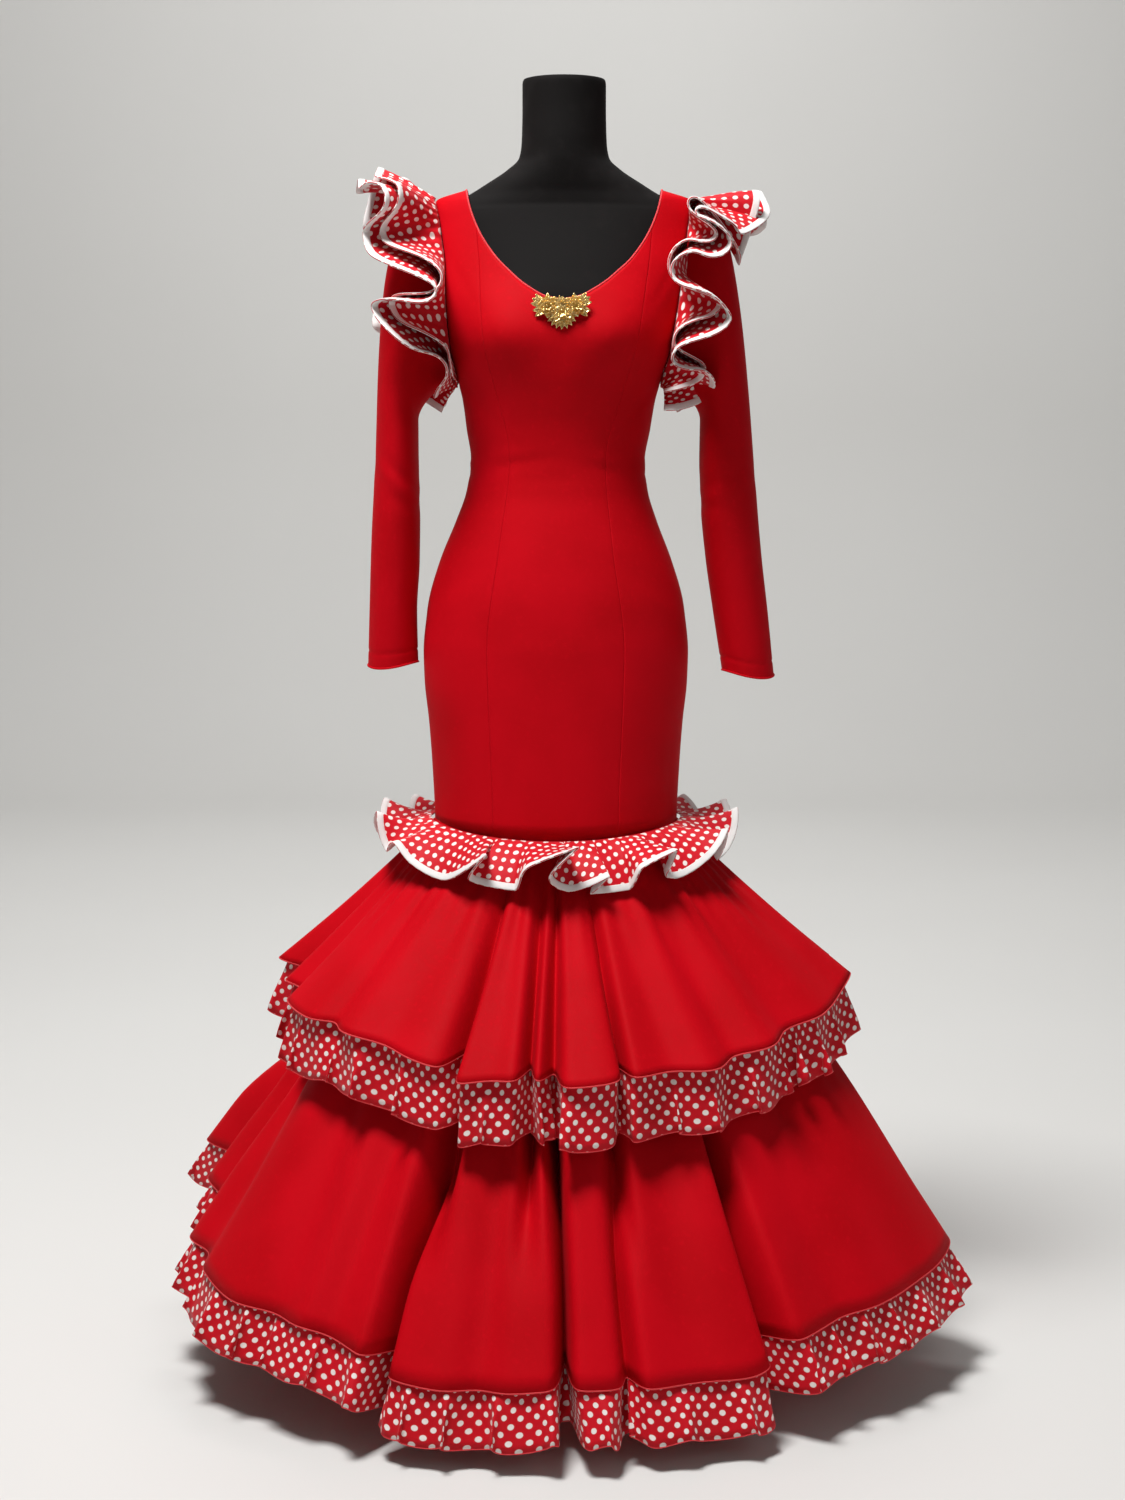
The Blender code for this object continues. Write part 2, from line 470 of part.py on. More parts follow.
def side_panel(name, side, back):
    """Panel from the princess seam to the side seam and armhole, with its strap over the shoulder."""
    rows = np.array((SEAM_Z_SIDE,) + PANEL_ROWS + STRAP_ROWS)
    seam = PRINCESS_BACK if back else PRINCESS_FRONT
    neck = NECK_BACK if back else NECK_FRONT
    inner_out = np.where(
        rows > STRAP_START_Z,
        smooth(rows, column(neck, 1), column(neck, 0)),
        smooth(rows, column(seam, 0), column(seam, 1)),
    )
    inner_z = rows.copy()
    outer_z = outer_height(rows)
    inner = edge_angle(inner_out, inner_z)
    outer = smooth(outer_z, column(ARMHOLE, 0), column(ARMHOLE, 1))
    if back:
        inner = 180.0 - inner
        outer = smooth(outer_z, column(ARMHOLE, 0), column(ARMHOLE, 2))
    outer = np.where(outer_z < UNDERARM_Z, 90.0, outer)
    turn = -1.0 if back else 1.0
    inner = inner + turn * gap_angle(inner_z)
    outer = outer - turn * gap_angle(outer_z)
    inner[-1] = 90.0 - turn * gap_angle(inner_z[-1])
    return panel(name, side * inner, side * outer, inner_z, outer_z, 4)


def centre_panel(name, side, back, cells):
    """Centre front panel (side 0), or one half of the centre back."""
    seam = PRINCESS_BACK if back else PRINCESS_FRONT
    neck = NECK_BACK if back else NECK_FRONT
    share = np.linspace(-1.0, 1.0, cells + 1) if side == 0 else np.linspace(0.0, 1.0, cells + 1)
    top = np.full_like(share, 1.30)
    for _ in range(12):
        reach = np.abs(share) * smooth(top, column(seam, 0), column(seam, 1))
        top = smooth(reach, column(neck, 0), column(neck, 1))
    rows = np.array((SEAM_Z_SIDE,) + PANEL_ROWS)
    fraction = (rows - rows[0]) / (rows[-1] - rows[0])
    z = rows[0] + fraction[:, None] * (top[None, :] - rows[0])
    out = share[None, :] * smooth(z, column(seam, 0), column(seam, 1))
    angle = edge_angle(out, z)
    angle = angle - np.sign(share)[None, :] * gap_angle(z) * (np.abs(share) > 0.99)[None, :]
    if back:
        middle = gap_angle(z) * (share < 0.01)[None, :]
        angle = side * (180.0 - angle - middle)
    z[0] = seam_z(angle[0]) + SEAM_GAP / 2
    return wall(name, body_point(angle, z), body_point(angle, z, CLOTH), "crepe_red", False)


# ---------------------------------------------------------------- sleeves and shoulder frills
def armhole_point(turn, side):
    """Point of the armhole edge; turn 0 is the underarm, 0.25 the front, 0.5 the shoulder, 0.75 the back."""
    turn = np.asarray(turn, float)
    middle = (UNDERARM_Z + SHOULDER_Z) / 2
    rise = (SHOULDER_Z - UNDERARM_Z) / 2
    z = middle - rise * np.cos(2 * np.pi * turn)
    front = smooth(z, column(ARMHOLE, 0), column(ARMHOLE, 1))
    back = smooth(z, column(ARMHOLE, 0), column(ARMHOLE, 2))
    return body_point(side * np.where(turn % 1.0 <= 0.5, front, back), z)


def sleeve(name, side, rows):
    """Sleeve from a ring outside the armhole to its open cuff."""
    turn = np.arange(SLEEVE_SIDES) / SLEEVE_SIDES
    first = armhole_point(turn, side)
    first[:, 0] += side * HEAD_GAP
    rings = [first]
    phase = 2 * np.pi * turn
    for index, (inner_x, inner_z, outer_x, outer_z, depth) in enumerate(rows):
        x = (inner_x + outer_x) / 2 - (outer_x - inner_x) / 2 * np.cos(phase)
        z = (inner_z + outer_z) / 2 - (outer_z - inner_z) / 2 * np.cos(phase)
        oval = np.stack([side * x, -depth * np.sin(phase), z], axis=-1)
        head = max(0.0, HEAD_KEEP[0] - HEAD_KEEP[1] * index)
        moved = first + np.array([side * HEAD_STEP * (index + 1), 0.0, 0.0])
        rings.append(oval * (1 - head) + moved * head)
    points = np.array(rings)
    inward = normals(points, True) * CLOTH * side
    return wall(name, points, points + inward, "crepe_red", True)


def unit(vectors):
    """Vectors brought to length 1."""
    return vectors / np.linalg.norm(vectors, axis=-1, keepdims=True)


def frill_grid(place, side, rows, tier):
    """Seam and free edge of one tier; the lower one is the upper one turned to the sleeve and longer."""
    along, off, added, scale = TIERS[tier]
    seam = armhole_point(place, side)
    tangent = unit(armhole_point(place + FRILL_STEP, side) - armhole_point(place - FRILL_STEP, side))
    outwards = np.array([side, 0.0, 0.0])
    away = unit(np.cross(tangent, outwards)) * side
    reach = np.stack([smooth(place, column(rows, 0), column(rows, n)) for n in (1, 2, 3)], axis=-1)
    reach = reach * np.array([side, -1.0, 1.0]) * MILLIMETRE * scale
    out = reach @ outwards
    lift = -np.sum(reach * away, axis=-1)
    slip = np.sum(reach * tangent, axis=-1) * FRILL_SLIP
    turn = np.maximum(np.arctan2(lift, out), math.radians(LEAST_TURN)) + math.radians(added)
    length = np.hypot(lift, out)[:, None]
    base = seam + outwards * along - away * off
    edge = base + length * (np.cos(turn)[:, None] * outwards - np.sin(turn)[:, None] * away)
    return base, edge + tangent * slip[:, None]


def shoulder_frill(side, rows, tier, label):
    """One tier of a shoulder frill with the white binding on its free edge."""
    place = np.linspace(rows[0][0], rows[-1][0], FRILL_COLUMNS)
    seam, edge = frill_grid(place, side, rows, tier)
    reach = np.linalg.norm(edge - seam, axis=-1, keepdims=True)
    cloth_end = 1.0 - (BINDING_WIDTH + BINDING_GAP) / reach
    bind_start = 1.0 - BINDING_WIDTH / reach
    grid = np.array([seam, seam + (edge - seam) * cloth_end, seam + (edge - seam) * bind_start, edge])
    bound_sheet("frill_%s_%s" % (tier, label), "binding_%s_%s" % (tier, label), grid, False)


# ---------------------------------------------------------------- thigh frill and flounces
def thigh_frill_point(index, reach_share):
    """Point of the thigh frill; index runs through the rows of its table and closes on itself."""
    count = len(THIGH_FRILL)
    order = np.arange(-2, count + 3)
    full = order // count * 360.0
    cut = order % count
    root_angle = smooth(index, order, column(THIGH_FRILL, 0)[cut] + full)
    free_angle = smooth(index, order, column(THIGH_FRILL, 1)[cut] + full)
    droop = np.radians(smooth(index, order, column(THIGH_FRILL, 2)[cut]))
    angle = np.radians(root_angle + (free_angle - root_angle) * reach_share)
    root = body_point(np.degrees(angle), seam_z(np.degrees(angle)), -THIGH_ROOT)
    first = math.radians(THIGH_START_DROOP)
    drop = first + (droop - first) * reach_share ** THIGH_DROOP_POWER
    radial = np.stack([np.sin(angle), -np.cos(angle), 0 * angle], axis=-1)
    length = THIGH_REACH * reach_share
    down = np.stack([0 * angle, 0 * angle, -np.ones_like(angle)], axis=-1)
    return root + length * (np.cos(drop)[:, None] * radial + np.sin(drop)[:, None] * down)


def thigh_frill():
    """The frill over the thigh seam with its white binding."""
    index = np.arange(0.0, len(THIGH_FRILL), 0.5)
    cloth_end = 1.0 - (BINDING_WIDTH + BINDING_GAP) / THIGH_REACH
    bind_start = 1.0 - BINDING_WIDTH / THIGH_REACH
    grid = np.array([thigh_frill_point(index, s) for s in (0.0, cloth_end, bind_start, 1.0)])
    bound_sheet("thigh_frill", "thigh_frill_binding", grid, True)


def oval_radius(angle, oval):
    """Radius of an oval with its own depth in front and behind."""
    width, front, back = oval
    turn = np.radians(angle)
    depth = np.where(np.cos(turn) > 0, front, back)
    return 1.0 / np.sqrt((np.sin(turn) / width) ** 2 + (np.cos(turn) / depth) ** 2)


def root_radius(angle, z, clear):
    """Radius of the body at an angle and height, moved out."""
    point = body_point(angle, z, -clear)
    return np.hypot(point[..., 0], point[..., 1])


def polar(angle, radius, z):
    """Point from angle, radius and height."""
    turn = np.radians(angle)
    return np.stack([radius * np.sin(turn), -radius * np.cos(turn), z + 0 * turn], axis=-1)


def upper_point(angle, share):
    """Point of the upper flounce, share 0 at its seam and 1 at its edge."""
    start_z = seam_z(angle) - (SEAM_Z_SIDE - UPPER_ROOT_Z)
    start = root_radius(angle, start_z, ROOT_CLEAR)
    edge = oval_radius(angle, UPPER_OVAL)
    fold = around(angle, UPPER_FOLDS, 1) * share ** FOLD_POWER
    radius = start + (edge - start) * share ** UPPER_BOW + fold
    turned = angle + around(angle, UPPER_SLIDES, 1) * share
    return polar(turned, radius, start_z + (around(angle, UPPER_FOLDS, 2) - start_z) * share)


def lower_point(angle, share):
    """Point of the lower flounce; under the upper one it takes the upper one's folds, lower down its own."""
    z = LOWER_ROOT_Z + (around(angle, LOWER_FOLDS, 2) - LOWER_ROOT_Z) * share
    start = root_radius(angle, LOWER_ROOT_Z, ROOT_CLEAR)
    edge = oval_radius(angle, LOWER_OVAL)
    under = ramp(share, *UNDER_START) * (1.0 - ramp(share, *UNDER_END))
    own = ramp(share, *OWN_FOLDS)
    fold = around(angle, UPPER_FOLDS, 1) * under + around(angle, LOWER_FOLDS, 1) * own
    slide = around(angle, UPPER_SLIDES, 1) * under + around(angle, LOWER_SLIDES, 1) * own ** SLIDE_POWER
    radius = start + (edge - start) * share ** LOWER_BOW + fold
    return polar(angle + slide, radius, z)


def flounce(name, surface, angles, shares, drop, flare):
    """One flounce, and the trim that hangs from its edge and runs out a little."""
    grid = np.array([surface(angles, share) for share in shares])
    thin_sheet(name + "_flounce", grid, CLOTH, "crepe_red", True)
    top = grid[-1] - np.array([0.0, 0.0, TRIM_GAP])
    edge = grid[-1] + polar(angles, flare, -drop)
    thin_sheet(name + "_trim", np.array([top, edge]), CLOTH, "polka_red", True)


def fold_angles(*tables):
    """Angles of the folds of some tables, thinned where they crowd and filled in where they are far apart."""
    places = np.sort(np.mod(np.concatenate([column(table, 0) for table in tables]), 360.0))
    kept = [places[0]]
    for value in places[1:]:
        if value - kept[-1] > NEAREST_ANGLES:
            kept.append(value)
    angles = np.array(kept)
    wide = np.diff(np.concatenate([angles, [angles[0] + 360.0]]))
    return np.sort(np.concatenate([angles, (angles + wide / 2)[wide > WIDEST_ANGLES]]))


def flounces():
    """Underskirt band, both flounces and their trims."""
    angles = fold_angles(UPPER_FOLDS)
    flounce("upper", upper_point, angles, UPPER_SHARES, UPPER_TRIM_DROP, UPPER_TRIM_FLARE)
    angles = fold_angles(UPPER_FOLDS, LOWER_FOLDS)
    flounce("lower", lower_point, angles, LOWER_SHARES, LOWER_TRIM_DROP, LOWER_TRIM_FLARE)
    turns = np.arange(0.0, 360.0, BAND_STEP)
    heights = np.array([seam_z(turns) - SEAM_GAP / 2, np.full_like(turns, LOWER_ROOT_Z - BAND_FOOT)])
    wall("skirt_band", body_point(turns, heights), body_point(turns, heights, CLOTH), "crepe_red", True)


# ---------------------------------------------------------------- form, stand, zip and brooch
def form_body():
    """Torso and neck of the form, one closed body just inside the dress."""
    sides = FORM_SIDES
    turns = np.arange(sides) * 360.0 / sides
    rings = [body_point(turns, np.full(sides, z), FORM_INSET) for z in FORM_ROWS]
    radians = np.radians(turns)
    for z, wide, front, back in FORM_NECK:
        depth = np.where(np.cos(radians) > 0, front, back)
        out = lean(z) + wide * np.sin(radians)
        rings.append(np.stack([out, -depth * np.cos(radians), z + 0 * turns], axis=-1))
    mesh_data = bmesh.new()
    grid = [[mesh_data.verts.new(point) for point in one] for one in rings]
    for low, high in zip(grid, grid[1:]):
        for c in range(sides):
            d = (c + 1) % sides
            mesh_data.faces.new((low[c], low[d], high[d], high[c]))
    mesh_data.faces.new(grid[0])
    mesh_data.faces.new(grid[-1])
    add_object("form_body", mesh_data, "form_black")


def cylinder(name, radius, low, high, finish, sides, bevel):
    """Upright cylinder between two heights with its rims bevelled."""
    mesh_data = bmesh.new()
    sizes = {"radius1": radius, "radius2": radius, "depth": high - low}
    bmesh.ops.create_cone(mesh_data, cap_ends=True, segments=sides, **sizes)
    bmesh.ops.translate(mesh_data, verts=mesh_data.verts[:], vec=(0.0, 0.0, (low + high) / 2))
    obj = add_object(name, mesh_data, finish)
    if bevel > 0:
        rounding = obj.modifiers.new("rim", "BEVEL")
        rounding.width = bevel
        rounding.segments = 3
        rounding.limit_method = "ANGLE"
        rounding.angle_limit = math.radians(RIM_ANGLE)
    return obj


def extruded(name, outline, low, high, finish):
    """Upright prism on an outline of x and y pairs."""
    mesh_data = bmesh.new()
    foot = [mesh_data.verts.new((x, y, low)) for x, y in outline]
    head = [mesh_data.verts.new((x, y, high)) for x, y in outline]
    mesh_data.faces.new(foot)
    mesh_data.faces.new(head)
    for i in range(len(outline)):
        j = (i + 1) % len(outline)
        mesh_data.faces.new((foot[i], foot[j], head[j], head[i]))
    return add_object(name, mesh_data, finish)


def zip_fastener():
    """Closed centre-back zip: tape behind the seam, slider at the top, and its hinged pull tab."""
    rows = np.array((SEAM_Z_SIDE,) + PANEL_ROWS)
    heights = rows[0] + (rows - rows[0]) / (rows[-1] - rows[0]) * (BACK_NECK_Z - rows[0])
    heights = heights[heights > ZIP_FOOT_Z]
    half = np.degrees(ZIP_WIDTH / 2 / ZIP_DEPTH)
    angles = 180.0 + np.array([-half, 0.0, half])
    grid_angle = np.repeat(angles[None, :], len(heights), axis=0)
    grid_z = np.repeat(heights[:, None], 3, axis=1)
    outer = body_point(grid_angle, grid_z, ZIP_INSET)
    inner = body_point(grid_angle, grid_z, ZIP_INSET + ZIP_TAPE)
    wall("zip_tape", outer, inner, "zip_tape", False)

    x = float(lean(SLIDER_Z))
    back_y = float(body_point(180.0, SLIDER_Z - SLIDER_HEIGHT - TAB_LENGTH)[1]) + SLIDER_CLEAR
    floor_y = back_y + SLIDER_BASE
    rim_y = floor_y + SLIDER_CHEEK_RISE
    w = SLIDER_WIDTH / 2
    n = w - SLIDER_CHEEK
    outline = ((x - w, back_y), (x + w, back_y), (x + w, rim_y), (x + n, rim_y),
               (x + n, floor_y), (x - n, floor_y), (x - n, rim_y), (x - w, rim_y))
    extruded("zip_slider", outline, SLIDER_Z, SLIDER_Z + SLIDER_HEIGHT, "zip_metal")

    axis_z = SLIDER_Z + SLIDER_HEIGHT / 2
    axis_y = floor_y + FREE_GAP + TAB_THICKNESS / 2
    arc = np.linspace(0.0, np.pi, TAB_ARC)
    half_thick = TAB_THICKNESS / 2
    top = [(half_thick * math.cos(a), half_thick * math.sin(a)) for a in arc]
    profile = [(half_thick, -TAB_LENGTH)] + top + [(-half_thick, -TAB_LENGTH)]
    mesh_data = bmesh.new()
    left = [mesh_data.verts.new((-TAB_WIDTH / 2, y, z)) for y, z in profile]
    right = [mesh_data.verts.new((TAB_WIDTH / 2, y, z)) for y, z in profile]
    mesh_data.faces.new(left)
    mesh_data.faces.new(right)
    for i in range(len(profile)):
        j = (i + 1) % len(profile)
        mesh_data.faces.new((left[i], left[j], right[j], right[i]))
    tab = add_object("zip_tab", mesh_data, "zip_metal")
    tab.location = (x, axis_y, axis_z)


def brooch():
    """Oval brooch of three flower heads that lies on the front below the neckline."""
    sides = BROOCH_SIDES
    turn = np.arange(sides) * 2 * np.pi / sides
    share = np.linspace(0.0, 1.0, BROOCH_RINGS)[1:]
    petals = 1.0 + BROOCH_PETAL_DEPTH * np.cos(BROOCH_PETALS * turn)
    u = share[:, None] * petals * np.cos(turn) * BROOCH_HALF_WIDTH
    v = share[:, None] * petals * np.sin(turn) * BROOCH_HALF_HEIGHT
    rise = sum(size * np.exp(-((u - a) ** 2 + (v - b) ** 2) / FLOWER_RADIUS ** 2) for a, b, size in FLOWERS)
    rise = BROOCH_RIM + (BROOCH_RISE - BROOCH_RIM) * np.clip(rise, 0.0, 1.0) * (1 - share[:, None] ** 4)
    z = BROOCH_Z + v
    middle = float(lean(BROOCH_Z))

    def on_front(offset_x, height, off):
        angle = edge_angle(offset_x, height)
        point = body_point(angle, height)
        point[..., 0] = middle + offset_x
        point[..., 1] = np.minimum(point[..., 1], BROOCH_BACK_Y) - off
        return point

    front = on_front(u, z, rise)
    back = on_front(u[-1:], z[-1:], np.zeros((1, sides)))
    centre_rise = np.array([[BROOCH_RISE]])
    tip = on_front(np.zeros((1, 1)), np.full((1, 1), BROOCH_Z), centre_rise)[0, 0]
    mesh_data = bmesh.new()
    grid = [[mesh_data.verts.new(point) for point in one] for one in front]
    rim = [mesh_data.verts.new(point) for point in back[0]]
    apex = mesh_data.verts.new(tip)
    for c in range(sides):
        d = (c + 1) % sides
        mesh_data.faces.new((apex, grid[0][c], grid[0][d]))
        for low, high in zip(grid, grid[1:]):
            mesh_data.faces.new((low[c], high[c], high[d], low[d]))
        mesh_data.faces.new((grid[-1][c], rim[c], rim[d], grid[-1][d]))
    mesh_data.faces.new(rim)
    add_object("brooch", mesh_data, "brooch_gold")


def main():
    """Build every piece."""
    for obj in list(bpy.data.objects):
        bpy.data.objects.remove(obj, do_unlink=True)
    cylinder("stand_base", BASE_RADIUS, 0.0, BASE_THICKNESS, "stand_black", BASE_SIDES, BASE_BEVEL)
    pole_foot = BASE_THICKNESS + FREE_GAP
    cylinder("stand_pole", POLE_RADIUS, pole_foot, FORM_FOOT_Z - FREE_GAP, "stand_black", POLE_SIDES, 0.0)
    form_body()
    centre_panel("front_centre", 0, False, 8)
    for side, label in ((-1, "left"), (1, "right")):
        centre_panel("back_centre_" + label, side, True, 3)
        side_panel("front_side_" + label, side, False)
        side_panel("back_side_" + label, side, True)
        sleeve("sleeve_" + label, side, SLEEVE_LEFT if side < 0 else SLEEVE_RIGHT)
        for tier in TIERS:
            shoulder_frill(side, FRILL_LEFT if side < 0 else FRILL_RIGHT, tier, label)
    thigh_frill()
    flounces()
    zip_fastener()
    brooch()


main()
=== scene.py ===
"""Looks of a red flamenco dress on its limbless dress form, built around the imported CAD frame.

Metres, +Z up, the front of the dress towards -Y.  Each sub-assembly of the dress is a class that holds its
sizes, works its surfaces out as whole numpy grids and dresses them with procedural finishes.
"""

import logging
import math
from dataclasses import dataclass
from enum import Enum
from typing import Any, Callable, Sequence

import bmesh
import bpy
import numpy as np
from mathutils import Matrix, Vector
from numpy.typing import NDArray


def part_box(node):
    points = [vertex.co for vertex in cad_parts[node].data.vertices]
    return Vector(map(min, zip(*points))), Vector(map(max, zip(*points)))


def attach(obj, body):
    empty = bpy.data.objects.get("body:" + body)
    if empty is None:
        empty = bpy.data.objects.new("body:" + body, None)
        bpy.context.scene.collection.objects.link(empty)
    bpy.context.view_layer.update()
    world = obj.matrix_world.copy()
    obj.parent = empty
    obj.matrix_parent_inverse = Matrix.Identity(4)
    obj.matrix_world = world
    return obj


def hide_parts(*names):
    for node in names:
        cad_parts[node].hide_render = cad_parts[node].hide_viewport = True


Array = NDArray[np.float64]
Table = tuple[tuple[float, ...], ...]

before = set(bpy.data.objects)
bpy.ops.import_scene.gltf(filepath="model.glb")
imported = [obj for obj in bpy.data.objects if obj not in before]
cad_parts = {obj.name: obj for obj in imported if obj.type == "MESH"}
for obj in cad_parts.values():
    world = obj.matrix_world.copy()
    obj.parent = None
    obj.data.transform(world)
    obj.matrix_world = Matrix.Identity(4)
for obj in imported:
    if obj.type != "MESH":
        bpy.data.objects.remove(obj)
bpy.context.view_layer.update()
BODY = "dress_and_form"
TAB_BODY = "zip_tab"
ROLL_SIDES = 8
HEM_SIDES = 6
WELD = 1e-6
LOG = logging.getLogger("flamenco_dress")


class Side(Enum):
    """Left and right as seen from the front, with the sign of their x."""

    LEFT = -1.0
    RIGHT = 1.0


class Hold(Enum):
    """How a sheet of cloth is held."""

    STRETCHED = "stretched"
    GATHERED = "gathered"
    HUNG = "hung"


# ---------------------------------------------------------------- curves
def smooth(x: Any, xs: Any, ys: Any) -> Array:
    """Monotone cubic through table points, so that it never overshoots between two of them.

    Args:
        x: where to read the curve, any shape.
        xs: increasing places of the table.
        ys: values of the table, one row per place, with any further axes.

    Returns:
        The values at x, with the further axes of ys at the end.
    """
    at = np.asarray(x, float)
    xs = np.asarray(xs, float)
    ys = np.asarray(ys, float)
    tail = (1,) * (ys.ndim - 1)
    h = np.diff(xs).reshape((-1,) + tail)
    d = np.diff(ys, axis=0) / h
    same = d[:-1] * d[1:] > 0
    total = np.where(same, d[:-1] + d[1:], 1.0)
    inner = np.where(same, 2.0 * d[:-1] * d[1:] / total, 0.0)
    m = np.concatenate([d[:1], inner, d[-1:]])
    i = np.clip(np.searchsorted(xs, at) - 1, 0, len(xs) - 2)
    t = np.clip((at - xs[i]) / (xs[i + 1] - xs[i]), 0.0, 1.0).reshape(at.shape + tail)
    a = ys[i] * (1 + 2 * t) * (1 - t) ** 2 + ys[i + 1] * t * t * (3 - 2 * t)
    return a + h[i] * (m[i] * t * (1 - t) ** 2 - m[i + 1] * t * t * (1 - t))


def column(rows: Table, n: int) -> Array:
    """Column n of a table as an array."""
    return np.array([row[n] for row in rows])


def read(at: Any, rows: Table, n: int = 1) -> Array:
    """Column n of a table as a smooth function of its first column."""
    return smooth(at, column(rows, 0), column(rows, n))


def around(angle: Any, rows: Table, n: int) -> Array:
    """Column n of a fold table as a smooth function of the angle, closed round the body.

    Args:
        angle: degrees from the centre front.
        rows: fold table whose first column is the angle.
        n: column to read.

    Returns:
        The value at each angle.
    """
    angles = column(rows, 0)
    values = column(rows, n)
    wrapped = angles[0] + np.mod(np.asarray(angle, float) - angles[0], 360.0)
    xs = np.concatenate([angles[-2:] - 360.0, angles, angles[:2] + 360.0])
    return smooth(wrapped, xs, np.concatenate([values[-2:], values, values[:2]]))


def ramp(x: Any, low: float, high: float) -> Array:
    """0 below low and 1 above high, with a smooth step between."""
    t = np.clip((np.asarray(x, float) - low) / (high - low), 0.0, 1.0)
    return t * t * (3 - 2 * t)


def unit(vectors: Array) -> Array:
    """Vectors scaled to length one along the last axis."""
    return vectors / np.maximum(np.linalg.norm(vectors, axis=-1, keepdims=True), 1e-12)


def run_length(points: Array) -> Array:
    """Distance run along the second-last axis of points, starting from zero."""
    steps = np.linalg.norm(np.diff(points, axis=-2), axis=-1)
    start = np.zeros(steps.shape[:-1] + (1,))
    return np.concatenate([start, np.cumsum(steps, axis=-1)], axis=-1)


def down_run(points: Array) -> Array:
    """Distance run down the columns of a grid, a row per column."""
    return run_length(np.swapaxes(points, 0, 1))


def longest(runs: Array) -> float:
    """The longest of some runs."""
    return float(runs.max())


def gathers(turn: Array, depth: float) -> Array:
    """Small uneven gathers along a seam, whose place is given in radians."""
    return depth * np.sin(58 * turn + 2.0 * np.sin(7 * turn))


def softened(points: Array, width: int, closed: bool) -> Array:
    """Points averaged along the columns with a bell-shaped weight, which rounds the tips of folds.

    Args:
        points: grid of rows, columns and coordinates.
        width: half width of the bell in columns.
        closed: True where the columns run all the way round.

    Returns:
        The softened grid, with its two end columns kept on an open grid.
    """
    offsets = np.arange(-2 * width, 2 * width + 1)
    weights = np.exp(-0.5 * (offsets / width) ** 2)
    weights /= weights.sum()
    cols = points.shape[1]
    index = np.arange(cols)[:, None] + offsets[None, :]
    index = np.mod(index, cols) if closed else np.clip(index, 0, cols - 1)
    mixed = np.einsum("rcok,o->rck", points[:, index], weights)
    if not closed:
        mixed[:, 0] = points[:, 0]
        mixed[:, -1] = points[:, -1]
    return mixed


def grid_normals(points: Array, closed: bool) -> Array:
    """Unit normals of a grid: the direction across the columns crossed with the direction along the rows.

    Args:
        points: grid of rows, columns and coordinates.
        closed: True where the columns run all the way round.

    Returns:
        One unit vector per grid point.
    """
    if closed:
        across = np.roll(points, -1, axis=1) - np.roll(points, 1, axis=1)
    else:
        across = np.gradient(points, axis=1)
    return unit(np.cross(across, np.gradient(points, axis=0)))


# ---------------------------------------------------------------- shader maths
class Tint:
    """One output socket in a node tree, with the arithmetic that materials are written in."""

    def __init__(self, board: "Board", socket: bpy.types.NodeSocket) -> None:
        """Wrap a socket.

        Args:
            board: the node tree's helper.
            socket: the output socket that carries the value.
        """
        self.board = board
        self.socket = socket

    def math(self, operation: str, *values: Any) -> "Tint":
        """Add a Math node of an operation to the given values in order."""
        node = self.board.node("ShaderNodeMath", {"operation": operation}, dict(enumerate(values)))
        return Tint(self.board, node.outputs[0])

    def __add__(self, other: Any) -> "Tint":
        """Sum."""
        return self.math("ADD", self, other)

    __radd__ = __add__

    def __sub__(self, other: Any) -> "Tint":
        """Difference."""
        return self.math("SUBTRACT", self, other)

    def __rsub__(self, other: Any) -> "Tint":
        """Difference with the operands the other way round."""
        return self.math("SUBTRACT", other, self)

    def __mul__(self, other: Any) -> "Tint":
        """Product."""
        return self.math("MULTIPLY", self, other)

    __rmul__ = __mul__

    def __truediv__(self, other: Any) -> "Tint":
        """Quotient."""
        return self.math("DIVIDE", self, other)

    def wave(self) -> "Tint":
        """Sine."""
        return self.math("SINE", self)

    def fraction(self) -> "Tint":
        """Part after the decimal point."""
        return self.math("FRACT", self)

    def smaller(self, other: Any) -> "Tint":
        """The smaller of two values."""
        return self.math("MINIMUM", self, other)

    def length_with(self, other: "Tint") -> "Tint":
        """Root of the sum of two squares."""
        return self.math("SQRT", self * self + other * other)

    def step(self, low: float, high: float) -> "Tint":
        """0 at low and 1 at high with a smooth step between; the two may be in falling order."""
        settings = {"interpolation_type": "SMOOTHSTEP"}
        values = {"Value": self, "From Min": low, "From Max": high, "To Min": 0.0, "To Max": 1.0}
        return Tint(self.board, self.board.node("ShaderNodeMapRange", settings, values).outputs[0])


